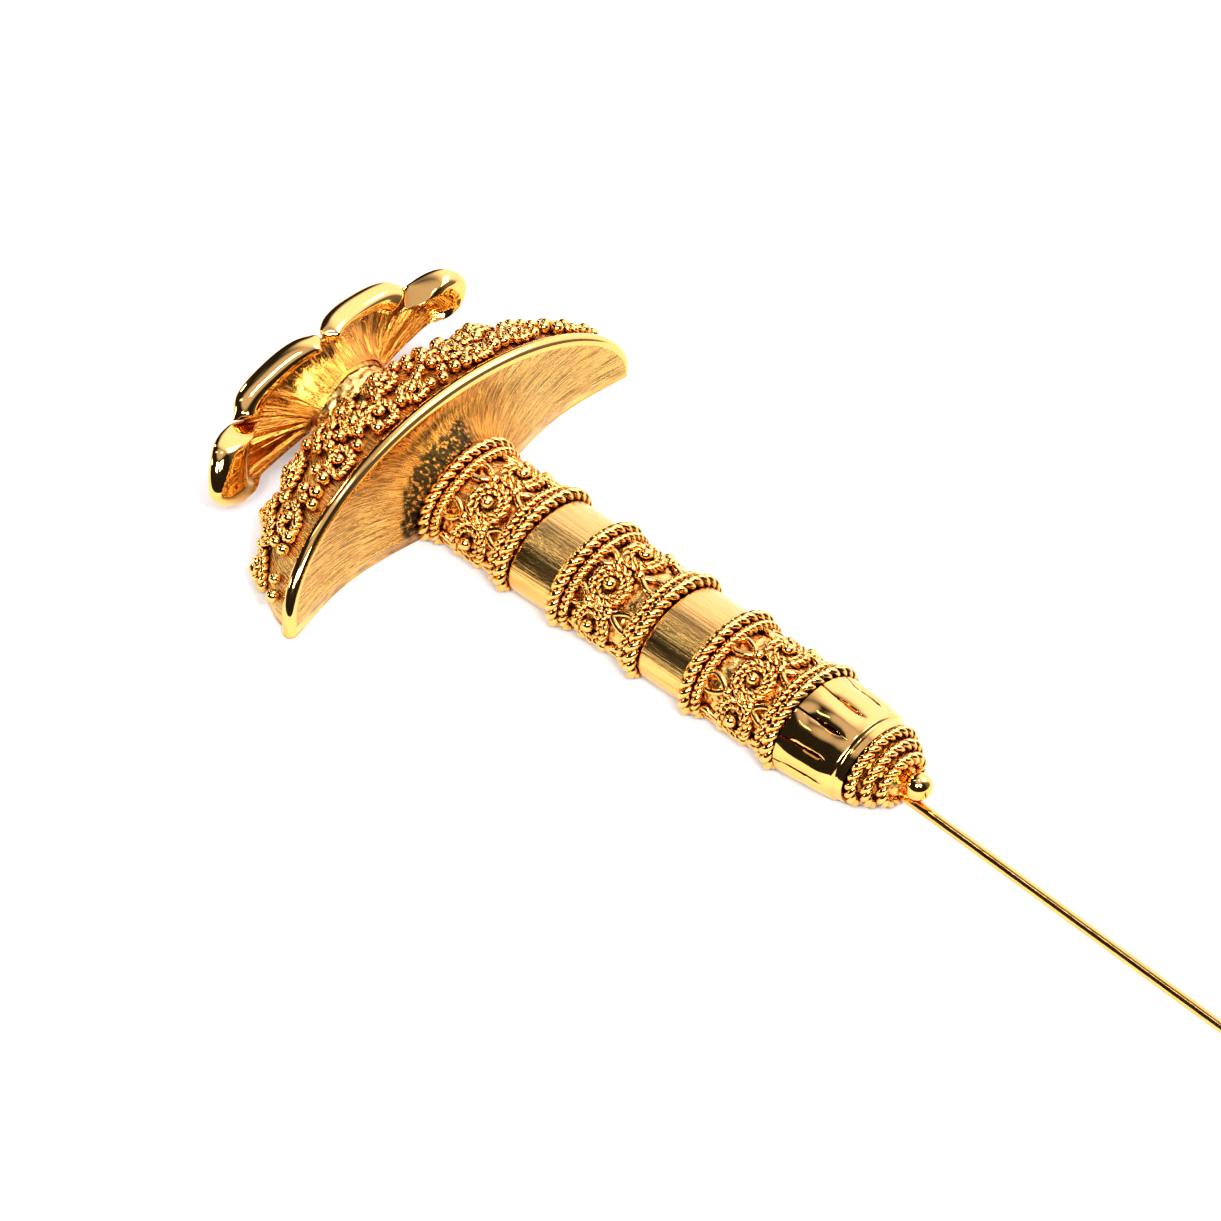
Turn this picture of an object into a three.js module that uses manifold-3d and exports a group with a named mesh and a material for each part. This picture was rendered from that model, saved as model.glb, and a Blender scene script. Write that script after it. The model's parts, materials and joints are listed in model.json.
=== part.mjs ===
// A flat-backed relief head on a long straight pin, with a push-on cap over the point.
// Millimetres. +X runs along the head towards the point, +Z stands up from the flat back.
// The origin lies on the back, midway between the two horns of the crescent guard.

import * as THREE from 'three';
import { mergeVertices } from 'three/addons/utils/BufferGeometryUtils.js';
import Module from 'manifold-3d';

const wasm = await Module();
wasm.setup();

// Driving dimensions
const AXIS_Z = 1.9;            // height of the grip's centre line above the back
const SQUASH = 0.77;           // every section of the head is a circle flattened by this
const GAP = 0.05;              // clearance between pieces that sit in or on each other
const CUT_GAP = 0.3;           // clearance round a piece that its neighbour is cut for

// Radii are half widths, measured across the head along Y.
const CORE_R = 3.25;           // inner bar of the grip
const CORE_START_X = -8.6;
const DRUM_R = 3.75;           // plain ground under the filigree of a band
const SATIN_R = 4.27;          // brushed stretches between the bands
const ROPE_R = 4.42;           // centre line of a rope ring
const ROPE_WIRE_R = 0.5;       // half the thickness of a rope
const ROPE_END_Z = 0.36;       // height of a rope ring's two ends

const BANDS = [                // start, end and rosette station of each filigree band
  { start: 0.5, end: 8.8, rosettes: 4.8 },
  { start: 12.7, end: 21.1, rosettes: 16.4 },
  { start: 25.2, end: 34.0, rosettes: 29.9 },
];
const ROSETTE_R = 1.5;
const ROSETTE_HEIGHT = 0.7;    // from a rosette's foot to the seat of its bead
const ROSETTE_FIRST = 12;      // degrees round the flattened section, counted from +Y
const ROSETTE_PITCH = 52.7;
const ROSETTES_PER_BAND = 4;
const BEAD_R = 0.55;

const TAPER_END_X = 39.8;      // end of the grooved taper
const TAPER_START_R = 4.45;
const TAPER_END_R = 3.8;
const TAPER_POWER = 2.2;       // how late the taper narrows
const TIP_Z = 2.1;             // centre height of the coils
const COILS = [                // rope coils that close the taper down to the ball
  { x: 40.25, ring: 3.15 },
  { x: 41.2, ring: 2.6 },
  { x: 42.1, ring: 1.95 },
];
const TIP_PEG_R = 1.0;
const TIP_PEG_START_X = 37.6;
const COIL_PINCH = 0.05;       // how much thinner a coil is than a rope ring
const COIL_SEAT = 0.5;         // from a coil's centre line down to the peg under it
const BALL = { x: 43.75, z: 2.5, radius: 1.05 };

const HORN_Y = 17.6;           // half the span of the guard
const HORN_Z = 0.9;            // height of the horns' centre line
const CROWN_Z = 8.3;           // top of the guard's rim
const CROWN_X = -2.6;          // how far the rim leans towards the finial at its crown
const RIM_WIDTH = 1.15;
const RIM_PROUD = 0.55;
const RIM_LEAN_POWER = 1.4;
const GUARD_SOCKET_R = CORE_R + 0.15;
const GUARD_COLLAR_R = 4.95;    // flat ring that the first band stands against
const GUARD_FRONT_X = 0.4;
const GUARD_DOME_X = -8.6;     // finial end of the domed flank
const FLANK_SAG = 0.85;        // hollow of the flared flank
const DOME_POWER = 0.6;
const FLARE_POWER = 0.6;
const COLLAR_SHARE = 0.9;      // the most of the flank that the flat ring may take
const SCROLL_R = 1.15;
const SCROLL_BEAD_R = 0.5;
const SCROLL_LIFT = 0.12;      // clearance between a scroll's foot and the dome
// Places on the domed flank: degrees round it, and 0 at the neck to 1 at the rim.
const SCROLLS = [
  { turn: 9, out: 0.86 }, { turn: 17, out: 0.6 }, { turn: 14, out: 0.3 },
  { turn: 45, out: 0.66 }, { turn: 90, out: 0.62 }, { turn: 135, out: 0.66 },
  { turn: 166, out: 0.3 }, { turn: 163, out: 0.6 }, { turn: 171, out: 0.86 },
];

const NECK = { start: -11.9, end: -8.75, radius: 3.5, z: 3.0 };
const PETAL_ROOT_R = 3.8;
const PETAL_ROOT_X = -11.1;
const PETAL_THICKNESS = 0.8;
const LIP_THICKNESS = 1.15;
const LIP_POWER = 3;           // how late a petal thickens towards its lip
const LIP_SHARE = 0.85;        // part of a petal's thickness on the pin side of its outline
const SIDE_LIP = [             // outer edge of a side petal, x, y, z, from its lower end to the notch
  [-11.5, 10.6, 1.2], [-11.3, 12.7, 2.0], [-11.3, 13.6, 3.7], [-12.4, 11.9, 6.0], [-13.2, 9.1, 5.8],
];
const FAR_LIP = [              // the same for the side petal on +Y, which stands higher off the back
  [-11.5, 11.6, 3.7], [-11.7, 12.7, 4.1], [-12.0, 13.1, 4.7], [-12.5, 11.9, 6.0], [-13.2, 9.1, 5.8],
];
const TOP_LIP = [              // outer edge of an upper petal, from the side notch to the middle one
  [-13.3, 8.8, 5.9], [-14.0, 7.7, 6.8], [-14.2, 4.5, 7.6], [-13.8, 1.8, 8.1], [-13.2, 0.15, 8.0],
];

const HUB_LENGTH = 1.9;

const WIRE_R = 0.42;
const WIRE_Z = 0.9;
const WIRE_START_X = 38.5;     // end of the pin inside the head
const WIRE_LENGTH = 113;
const WIRE_LEAN = 2.6;         // degrees towards -Y
const POINT_LENGTH = 7;
const POINT_SHOULDER_R = 0.26; // part of the way down the point
const POINT_SHOULDER = 4;
const CAP_LENGTH = 12;
const CAP_BORE_DEPTH = 10;
const CAP_CLEARANCE = 0.05;
const CAP_WALL_R = 0.72;
const CAP_BEAD_R = 0.86;
const CAP_COLLAR = 1.0;        // length of the thicker ring at the cap's mouth
const CAP_CHAMFER = 0.2;
const CAP_END_ROOM = 0.6;      // from the pin's point to the bottom of the bore

const GOLD = {
  polished: new THREE.MeshStandardMaterial({ color: 0xd9a441, roughness: 0.15, metalness: 1 }),
  satin: new THREE.MeshStandardMaterial({ color: 0xe0b55f, roughness: 0.38, metalness: 1 }),
  filigree: new THREE.MeshStandardMaterial({ color: 0xcf8f35, roughness: 0.28, metalness: 1 }),
  hammered: new THREE.MeshStandardMaterial({ color: 0xd79f45, roughness: 0.34, metalness: 1 }),
  pin: new THREE.MeshStandardMaterial({ color: 0xe3b768, roughness: 0.12, metalness: 1 }),
  cap: new THREE.MeshStandardMaterial({ color: 0xd8a850, roughness: 0.22, metalness: 1 }),
};

const hatPin = new THREE.Group();

function addMesh(name, geometry, material, parent = hatPin) {
  const mesh = new THREE.Mesh(geometry, material.clone());
  mesh.name = name;
  parent.add(mesh);
  return mesh;
}

// Geometry helpers

function signedVolume(geometry) {
  const shape = geometry.index ? geometry.toNonIndexed() : geometry;
  const position = shape.getAttribute('position');
  const a = new THREE.Vector3();
  const b = new THREE.Vector3();
  const c = new THREE.Vector3();
  let sum = 0;
  for (let i = 0; i < position.count; i += 3) {
    a.fromBufferAttribute(position, i);
    b.fromBufferAttribute(position, i + 1);
    c.fromBufferAttribute(position, i + 2);
    sum += a.dot(b.cross(c));
  }
  return sum / 6;
}

// Keeps positions only, welds the seams and turns the faces outwards.
function closed(geometry) {
  const bare = new THREE.BufferGeometry();
  bare.setAttribute('position', geometry.getAttribute('position').clone());
  if (geometry.index) bare.setIndex(geometry.index.clone());
  const welded = mergeVertices(bare, 1e-4);
  const index = Array.from(welded.index.array);
  const kept = [];
  for (let i = 0; i < index.length; i += 3) {
    const [p, q, r] = index.slice(i, i + 3);
    if (p !== q && q !== r && r !== p) kept.push(p, q, r);
  }
  welded.setIndex(kept);
  if (signedVolume(welded) < 0) {
    for (let i = 0; i < kept.length; i += 3) {
      [kept[i], kept[i + 1]] = [kept[i + 1], kept[i]];
    }
    welded.setIndex(kept);
  }
  welded.computeVertexNormals();
  return welded;
}

function toSolid(geometry) {
  const vertProperties = new Float32Array(geometry.getAttribute('position').array);
  const triVerts = new Uint32Array(geometry.index.array);
  return new wasm.Manifold(new wasm.Mesh({ numProp: 3, vertProperties, triVerts }));
}

function fromSolid(solid) {
  const mesh = solid.getMesh();
  const geometry = new THREE.BufferGeometry();
  geometry.setAttribute('position', new THREE.BufferAttribute(new Float32Array(mesh.vertProperties), 3));
  geometry.setIndex(Array.from(mesh.triVerts));
  return closed(geometry);
}

// Takes the tools away from a geometry.
function cut(geometry, tools) {
  let solid = toSolid(geometry);
  for (const tool of tools) {
    solid = solid.subtract(toSolid(tool));
  }
  return fromSolid(solid);
}

// A solid between two grids of points that share their rows and columns.
function slab(upper, lower) {
  const rows = upper.length;
  const columns = upper[0].length;
  const corners = [];
  const quad = (p, q, r, s) => corners.push(p, q, r, p, r, s);
  for (let i = 0; i + 1 < rows; i += 1) {
    for (let j = 0; j + 1 < columns; j += 1) {
      quad(upper[i][j], upper[i + 1][j], upper[i + 1][j + 1], upper[i][j + 1]);
      quad(lower[i][j], lower[i][j + 1], lower[i + 1][j + 1], lower[i + 1][j]);
    }
    quad(upper[i][0], lower[i][0], lower[i + 1][0], upper[i + 1][0]);
    const last = columns - 1;
    quad(upper[i + 1][last], lower[i + 1][last], lower[i][last], upper[i][last]);
  }
  for (let j = 0; j + 1 < columns; j += 1) {
    quad(upper[0][j + 1], lower[0][j + 1], lower[0][j], upper[0][j]);
    const end = rows - 1;
    quad(upper[end][j], lower[end][j], lower[end][j + 1], upper[end][j + 1]);
  }
  return closed(new THREE.BufferGeometry().setFromPoints(corners));
}

// Points round a flattened section, from the back on the +Y side over the top to the back on the other.
function archPath(radius, steps = 18) {
  const start = Math.asin(-Math.min(1, AXIS_Z / (radius * SQUASH)));
  const points = [];
  for (let i = 0; i <= steps; i += 1) {
    const turn = THREE.MathUtils.lerp(start, Math.PI - start, i / steps);
    const z = AXIS_Z + radius * SQUASH * Math.sin(turn);
    points.push(new THREE.Vector2(radius * Math.cos(turn), Math.max(z, 0)));
  }
  return points;
}

// Sends a shape's x, y and depth to Y, Z and X.
const ALONG_X = new THREE.Matrix4().makeBasis(
  new THREE.Vector3(0, 1, 0), new THREE.Vector3(0, 0, 1), new THREE.Vector3(1, 0, 0),
);

function archBar(startX, endX, outer, inner = 0) {
  const outline = archPath(outer);
  if (inner > 0) outline.push(...archPath(inner).reverse());
  const bar = new THREE.ExtrudeGeometry(new THREE.Shape(outline), {
    depth: endX - startX, bevelEnabled: false, steps: 1,
  });
  bar.applyMatrix4(ALONG_X);
  bar.translate(startX, 0, 0);
  return closed(bar);
}

// A tapering skin over the inner bar, with one row of points for each station.
function archSkin(stations, inner) {
  const outerRows = stations.map(({ x, radius }) => (
    archPath(radius).map((p) => new THREE.Vector3(x, p.x, p.y))));
  const innerRows = stations.map(({ x }) => (
    archPath(inner).map((p) => new THREE.Vector3(x, p.x, p.y))));
  return slab(outerRows, innerRows);
}

// Turned about +X from a profile of [x, radius] pairs that starts and ends on the axis.
function turned(profile, segments = 16) {
  const points = profile.map(([x, radius]) => new THREE.Vector2(radius, x));
  const body = new THREE.LatheGeometry(points, segments);
  body.applyMatrix4(new THREE.Matrix4().makeBasis(
    new THREE.Vector3(0, 1, 0), new THREE.Vector3(1, 0, 0), new THREE.Vector3(0, 0, -1),
  ));
  return closed(body);
}

function arcProfile(centreX, radius, fromDegrees, toDegrees, steps) {
  const points = [];
  for (let i = 0; i <= steps; i += 1) {
    const turn = THREE.MathUtils.degToRad(THREE.MathUtils.lerp(fromDegrees, toDegrees, i / steps));
    points.push([centreX - radius * Math.cos(turn), Math.abs(radius * Math.sin(turn))]);
  }
  return points;
}

class ArchCurve extends THREE.Curve {
  constructor(x, radius) {
    super();
    this.x = x;
    this.radius = radius;
    this.start = Math.asin((ROPE_END_Z - AXIS_Z) / (radius * SQUASH));
  }

  getPoint(t, target = new THREE.Vector3()) {
    const turn = THREE.MathUtils.lerp(this.start, Math.PI - this.start, t);
    const z = AXIS_Z + this.radius * SQUASH * Math.sin(turn);
    return target.set(this.x, this.radius * Math.cos(turn), z);
  }
}

function ropeRing(x) {
  const section = new THREE.Shape().absarc(0, 0, ROPE_WIRE_R, 0, 2 * Math.PI);
  const ring = new THREE.ExtrudeGeometry(section, {
    steps: 18, curveSegments: 4, bevelEnabled: false, extrudePath: new ArchCurve(x, ROPE_R),
  });
  return closed(ring);
}

// Grip: an inner bar, satin sleeves, and three filigree bands

function addGrip() {
  addMesh('grip_core', archBar(CORE_START_X, TIP_PEG_START_X - GAP, CORE_R), GOLD.satin);
  const sleeves = [[BANDS[0].end, BANDS[1].start], [BANDS[1].end, BANDS[2].start]];
  sleeves.forEach(([start, end], i) => {
    const sleeve = archBar(start + GAP, end - GAP, SATIN_R, CORE_R + GAP);
    addMesh(`satin_sleeve_${i + 1}`, sleeve, GOLD.satin);
  });
  BANDS.forEach((band, i) => {
    const number = i + 1;
    const drum = archBar(band.start, band.end, DRUM_R, CORE_R + GAP);
    addMesh(`band_${number}_drum`, drum, GOLD.filigree);
    const half = ROPE_WIRE_R + GAP / 2;
    addMesh(`band_${number}_rope_near_guard`, ropeRing(band.start + half), GOLD.filigree);
    addMesh(`band_${number}_rope_near_pin`, ropeRing(band.end - half), GOLD.filigree);
    for (let j = 0; j < ROSETTES_PER_BAND; j += 1) {
      const mesh = addMesh(`band_${number}_rosette_${j + 1}`, rosette(), GOLD.filigree);
      const turn = THREE.MathUtils.degToRad(ROSETTE_FIRST + j * ROSETTE_PITCH);
      const out = new THREE.Vector3(0, Math.cos(turn) * SQUASH, Math.sin(turn)).normalize();
      const z = AXIS_Z + DRUM_R * SQUASH * Math.sin(turn);
      mesh.position.set(band.rosettes, DRUM_R * Math.cos(turn), z).addScaledVector(out, GAP);
      mesh.quaternion.setFromUnitVectors(new THREE.Vector3(1, 0, 0), out);
    }
  });
}

// A low disc with a bead on it, standing along +X from its flat foot.
function rosette(radius = ROSETTE_R, bead = BEAD_R) {
  const top = ROSETTE_HEIGHT;
  const edge = top * 0.4;
  const shoulder = radius * 0.8;
  const seat = bead * 1.2;
  return turned([
    [0, 0], [0, radius * 0.97], [edge, radius], [top, shoulder], [top, seat],
    ...arcProfile(top + bead / 2, bead, 60, 180, 3).slice(1),
  ], 10);
}

// Taper: a grooved skin over the core, rope coils on a peg, and the end ball

// A rod along the pin's line, long enough to pass the ball.
function wireTool(radius) {
  const length = 12;
  const rod = turned([[0, 0], [0, radius], [length, radius], [length, 0]], 12);
  rod.rotateZ(-THREE.MathUtils.degToRad(WIRE_LEAN));
  rod.translate(WIRE_START_X - CUT_GAP, 0, WIRE_Z);
  return rod;
}

// A block below the back plane, under the whole tip.
function backTool() {
  const depth = 10;
  const block = new THREE.BoxGeometry(30, 20, depth);
  block.translate(BALL.x, 0, -depth / 2);
  return closed(block);
}

function addTip() {
  const start = BANDS[2].end + GAP;
  const length = TAPER_END_X - start;
  const stations = [];
  const steps = 6;
  for (let i = 0; i <= steps; i += 1) {
    const t = i / steps;
    const radius = THREE.MathUtils.lerp(TAPER_START_R, TAPER_END_R, t ** TAPER_POWER);
    stations.push({ x: start + length * t, radius });
  }
  addMesh('tip_taper', archSkin(stations, CORE_R + GAP), GOLD.polished);

  const bore = wireTool(WIRE_R + CUT_GAP);
  const back = backTool();
  addMesh('tip_peg', cut(pegShape(0), [bore, back]), GOLD.filigree);
  const room = pegShape(CUT_GAP / 2);
  COILS.forEach(({ x, ring }, i) => {
    const coil = new THREE.TorusGeometry(ring, ROPE_WIRE_R - COIL_PINCH, 6, 20);
    coil.rotateY(Math.PI / 2);
    coil.scale(1, 1, SQUASH);
    coil.translate(x, 0, TIP_Z);
    addMesh(`tip_coil_${i + 1}`, cut(closed(coil), [bore, back, room]), GOLD.filigree);
  });

  const ball = turned(arcProfile(0, BALL.radius, 0, 180, 8), 14);
  ball.translate(BALL.x, 0, BALL.z);
  addMesh('tip_ball', cut(ball, [bore]), GOLD.polished);
}

// The stepped peg that the coils sit on, grown all round by a margin.
function pegShape(margin) {
  const start = TIP_PEG_START_X - margin;
  const end = COILS[2].x + margin / 10;
  const peg = turned([
    [start, 0], [start, CORE_R - GAP + margin], [TAPER_END_X, CORE_R - GAP + margin],
    [COILS[0].x, COILS[0].ring - COIL_SEAT + margin], [COILS[1].x, COILS[1].ring - COIL_SEAT + margin],
    [end, TIP_PEG_R + margin], [end, 0],
  ], 20);
  peg.scale(1, 1, SQUASH);
  peg.translate(0, 0, AXIS_Z);
  return peg;
}

// Guard: a crescent with a flared flank on the pin side and a dome on the finial side

function guardTurns() {
  const turns = [-1];
  for (let i = 0; i <= 24; i += 1) turns.push((Math.PI * i) / 24);
  turns.push(Math.PI + 1);
  return turns;
}

// Rim line at a turn: the first and last turns stand for the feet on the back.
function rimPoint(turn) {
  if (turn < 0) return new THREE.Vector3(0, HORN_Y, 0);
  if (turn > Math.PI) return new THREE.Vector3(0, -HORN_Y, 0);
  const rise = Math.sin(turn);
  const z = HORN_Z + (CROWN_Z - HORN_Z) * rise;
  return new THREE.Vector3(CROWN_X * rise ** RIM_LEAN_POWER, HORN_Y * Math.cos(turn), z);
}

// Where a section of the grip meets the turn: 0 at the horns' height, a quarter turn at the top.
function innerPoint(turn, radius) {
  const half = radius * SQUASH;
  const side = turn < Math.PI / 2 ? 1 : -1;
  const foot = Math.asin(Math.max(-1, -AXIS_Z / half));
  const level = Math.asin((HORN_Z - AXIS_Z) / half);
  let swing = foot;
  if (turn >= 0 && turn <= Math.PI) {
    const part = side > 0 ? turn / (Math.PI / 2) : (Math.PI - turn) / (Math.PI / 2);
    swing = THREE.MathUtils.lerp(level, Math.PI / 2, part);
  }
  return new THREE.Vector2(side * radius * Math.cos(swing), AXIS_Z + half * Math.sin(swing));
}

function outwardAt(turn) {
  const clamped = THREE.MathUtils.clamp(turn, 0, Math.PI);
  const outward = new THREE.Vector3(
    0, Math.cos(clamped) * (CROWN_Z - HORN_Z), Math.sin(clamped) * HORN_Y,
  );
  return outward.normalize();
}

function plateEdge(turn) {
  return rimPoint(turn).addScaledVector(outwardAt(turn), -RIM_PROUD - GAP);
}

// Height profile of the domed flank, from 0 at the rim to 1 at the neck.
function domeRise(out) {
  return (1 - out * out) ** DOME_POWER;
}

function domePoint(turn, out) {
  const edge = plateEdge(turn);
  const inner = innerPoint(turn, GUARD_SOCKET_R);
  const edgeX = edge.x - RIM_WIDTH / 2;
  return new THREE.Vector3(
    edgeX + (GUARD_DOME_X - edgeX) * domeRise(out),
    THREE.MathUtils.lerp(inner.x, edge.y, out),
    THREE.MathUtils.lerp(inner.y, edge.z, out),
  );
}

function flankPoint(turn, out) {
  const edge = plateEdge(turn);
  const socket = innerPoint(turn, GUARD_SOCKET_R);
  const collar = innerPoint(turn, GUARD_COLLAR_R);
  const edgeX = edge.x + RIM_WIDTH / 2;
  const y = THREE.MathUtils.lerp(socket.x, edge.y, out);
  const z = THREE.MathUtils.lerp(socket.y, edge.z, out);
  const reach = new THREE.Vector2(edge.y - socket.x, edge.z - socket.y).length();
  const flat = Math.min(COLLAR_SHARE, collar.distanceTo(socket) / reach);
  if (out <= flat) return new THREE.Vector3(GUARD_FRONT_X, y, z);
  const part = (out - flat) / (1 - flat);
  const calm = 1 - Math.sin(THREE.MathUtils.clamp(turn, 0, Math.PI)) / 2;
  const hollow = FLANK_SAG * Math.sin(Math.PI * part) * calm;
  return new THREE.Vector3(THREE.MathUtils.lerp(GUARD_FRONT_X, edgeX, part ** FLARE_POWER) - hollow, y, z);
}

function addGuard() {
  const turns = guardTurns();
  const outs = [0, 0.1, 0.22, 0.34, 0.46, 0.58, 0.7, 0.8, 0.9, 0.96, 1];
  const flank = turns.map((turn) => outs.map((out) => flankPoint(turn, out)));
  const dome = turns.map((turn) => outs.map((out) => domePoint(turn, out)));
  addMesh('guard_plate', slab(flank, dome), GOLD.satin);

  const across = [];
  for (let i = 0; i <= 4; i += 1) across.push((Math.PI * i) / 4);
  const outer = turns.map((turn) => across.map((swing) => (
    rimPoint(turn)
      .addScaledVector(outwardAt(turn), -RIM_PROUD * (1 - Math.sin(swing)))
      .add(new THREE.Vector3((RIM_WIDTH / 2) * Math.cos(swing), 0, 0)))));
  const innerEdge = turns.map((turn) => across.map((swing) => (
    rimPoint(turn)
      .addScaledVector(outwardAt(turn), -RIM_PROUD - GAP / 2)
      .add(new THREE.Vector3((RIM_WIDTH / 2) * Math.cos(swing), 0, 0)))));
  addMesh('guard_rim', slab(outer, innerEdge), GOLD.polished);

  SCROLLS.forEach(({ turn, out }, i) => {
    const angle = THREE.MathUtils.degToRad(turn);
    const step = 0.02;
    const here = domePoint(angle, out);
    const acrossway = domePoint(angle, out + step).sub(here);
    const around = domePoint(angle + step, out).sub(here);
    const normal = acrossway.cross(around).normalize();
    if (normal.x > 0) normal.negate();
    const mesh = addMesh(`guard_scroll_${i + 1}`, rosette(SCROLL_R, SCROLL_BEAD_R), GOLD.filigree);
    mesh.position.copy(here).addScaledVector(normal, SCROLL_LIFT);
    mesh.quaternion.setFromUnitVectors(new THREE.Vector3(1, 0, 0), normal);
  });
}

// Finial: a neck collar and four petals round a hub

function petal(lip, mirror) {
  const curve = new THREE.CatmullRomCurve3(lip.map(([x, y, z]) => new THREE.Vector3(x, y * mirror, z)));
  const rows = 10;
  const columns = 5;
  const back = [];
  const front = [];
  for (let i = 0; i <= rows; i += 1) {
    const end = curve.getPoint(i / rows);
    const turn = Math.atan2(end.z - NECK.z, end.y);
    const root = new THREE.Vector3(
      PETAL_ROOT_X, PETAL_ROOT_R * Math.cos(turn), NECK.z + PETAL_ROOT_R * SQUASH * Math.sin(turn),
    );
    const control = new THREE.Vector3(
      THREE.MathUtils.lerp(root.x, end.x, 0.75),
      THREE.MathUtils.lerp(root.y, end.y, 0.3),
      THREE.MathUtils.lerp(root.z, end.z, 0.3),
    );
    const rib = new THREE.QuadraticBezierCurve3(root, control, end);
    back.push([]);
    front.push([]);
    for (let j = 0; j <= columns; j += 1) {
      const point = rib.getPoint(j / columns);
      const thick = THREE.MathUtils.lerp(PETAL_THICKNESS, LIP_THICKNESS, (j / columns) ** LIP_POWER);
      back[i].push(point.clone().add(new THREE.Vector3(thick * LIP_SHARE, 0, 0)));
      front[i].push(point.clone().add(new THREE.Vector3(-thick * (1 - LIP_SHARE), 0, 0)));
    }
  }
  return slab(back, front);
}

function addFinial() {
  const middle = (NECK.start + NECK.end) / 2;
  const neck = turned([
    [NECK.start, 0], [NECK.start, NECK.radius - 0.25], [middle, NECK.radius],
    [NECK.end, NECK.radius - 0.1], [NECK.end, 0],
  ], 24);
  neck.scale(1, 1, SQUASH);
  neck.translate(0, 0, NECK.z);
  addMesh('neck_collar', neck, GOLD.hammered);

  const foot = NECK.start - GAP;
  const brow = NECK.radius / 2;
  const hub = turned([
    [foot, 0], [foot, NECK.radius - 0.3], [foot - HUB_LENGTH * 0.42, NECK.radius - 0.5],
    [foot - HUB_LENGTH * 0.84, brow], [foot - HUB_LENGTH, 0],
  ], 20);
  hub.scale(1, 1, SQUASH);
  hub.translate(0, 0, NECK.z);
  addMesh('finial_hub', hub, GOLD.polished);

  addMesh('petal_1', petal(SIDE_LIP, -1), GOLD.polished);
  addMesh('petal_2', petal(TOP_LIP, -1), GOLD.polished);
  addMesh('petal_3', petal(TOP_LIP, 1), GOLD.polished);
  addMesh('petal_4', petal(FAR_LIP, 1), GOLD.polished);
}

// Pin and the cap on its point, in a group that leans with the pin

function addPin() {
  const lean = new THREE.Group();
  lean.position.set(WIRE_START_X, 0, WIRE_Z);
  lean.rotation.z = -THREE.MathUtils.degToRad(WIRE_LEAN);
  hatPin.add(lean);

  const shoulder = WIRE_LENGTH - POINT_LENGTH;
  const wire = turned([
    [0, 0], [0, WIRE_R], [shoulder, WIRE_R], [shoulder + POINT_SHOULDER, POINT_SHOULDER_R], [WIRE_LENGTH, 0],
  ], 12);
  addMesh('pin_wire', wire, GOLD.pin, lean);

  const mouth = WIRE_LENGTH + CAP_END_ROOM - CAP_BORE_DEPTH;
  const boreR = WIRE_R + CAP_CLEARANCE;
  const beadX = mouth + CAP_LENGTH - CAP_BEAD_R;
  const cap = turned([
    [mouth + CAP_BORE_DEPTH, 0], [mouth + CAP_BORE_DEPTH, boreR], [mouth, boreR], [mouth, CAP_WALL_R],
    [mouth + CAP_CHAMFER, CAP_BEAD_R], [mouth + CAP_COLLAR - CAP_CHAMFER, CAP_BEAD_R],
    [mouth + CAP_COLLAR, CAP_WALL_R],
    ...arcProfile(beadX, CAP_BEAD_R, 57, 180, 6),
  ], 12);
  addMesh('point_cap', cap, GOLD.cap, lean);
}

addFinial();
addGuard();
addGrip();
addTip();
addPin();

export default hatPin;
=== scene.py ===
"""A gold hat pin: a petal finial, a crescent guard, a filigree grip, a long wire and a cap for its point."""

import json
import math

import bmesh
import bpy
import numpy as np
from bpy.props import FloatProperty, FloatVectorProperty, IntProperty, PointerProperty
from mathutils import Matrix, Vector, noise


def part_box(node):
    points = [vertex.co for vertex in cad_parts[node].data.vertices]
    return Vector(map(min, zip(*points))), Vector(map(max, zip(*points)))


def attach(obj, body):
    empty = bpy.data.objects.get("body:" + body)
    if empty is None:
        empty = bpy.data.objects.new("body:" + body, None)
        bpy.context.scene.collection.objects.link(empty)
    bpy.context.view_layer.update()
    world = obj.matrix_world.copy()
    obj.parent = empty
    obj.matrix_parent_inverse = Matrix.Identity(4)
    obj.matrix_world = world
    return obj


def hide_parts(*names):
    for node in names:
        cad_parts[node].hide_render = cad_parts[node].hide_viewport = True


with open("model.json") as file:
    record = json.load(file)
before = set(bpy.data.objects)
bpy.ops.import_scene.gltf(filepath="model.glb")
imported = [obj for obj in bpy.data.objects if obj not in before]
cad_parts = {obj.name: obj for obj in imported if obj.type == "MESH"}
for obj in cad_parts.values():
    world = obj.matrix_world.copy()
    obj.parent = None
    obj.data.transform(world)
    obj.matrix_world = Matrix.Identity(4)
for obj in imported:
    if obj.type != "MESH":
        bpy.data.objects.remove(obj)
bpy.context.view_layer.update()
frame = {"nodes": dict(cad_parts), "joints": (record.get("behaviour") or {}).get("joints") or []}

bl_info = {
    "name": "Hat Pin",
    "version": (1, 0, 0),
    "blender": (4, 5, 0),
    "location": "3D View > Sidebar > Hat Pin",
    "description": "Builds a gold hat pin with a petal finial, a crescent guard and a filigree grip",
    "category": "Add Mesh",
}

MM = 0.001
HAIR = 0.02 * MM               # how far one soldered piece stands off another
FULL_TURN = 2 * math.pi
HALF_TURN = math.pi
QUARTER_TURN = math.pi / 2

# The grip, with most of its sizes from the frame
CORE_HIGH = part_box("grip_core")[1]
SQUASH = 0.77                  # every section of the grip is a circle flattened by this
CORE_HALF = CORE_HIGH.y
BORE_HALF = CORE_HALF + HAIR
AXIS_Z = CORE_HIGH.z - CORE_HALF * SQUASH
DRUM_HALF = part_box("band_1_drum")[1].y
SATIN_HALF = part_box("satin_sleeve_1")[1].y
BANDS = (1, 2, 3)
SLEEVES = (1, 2)
COILS = (1, 2, 3)
ROSETTES = (1, 2, 3, 4)
ROSETTE_FIRST = math.radians(12)
ROSETTE_PITCH = math.radians(52.7)

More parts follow.
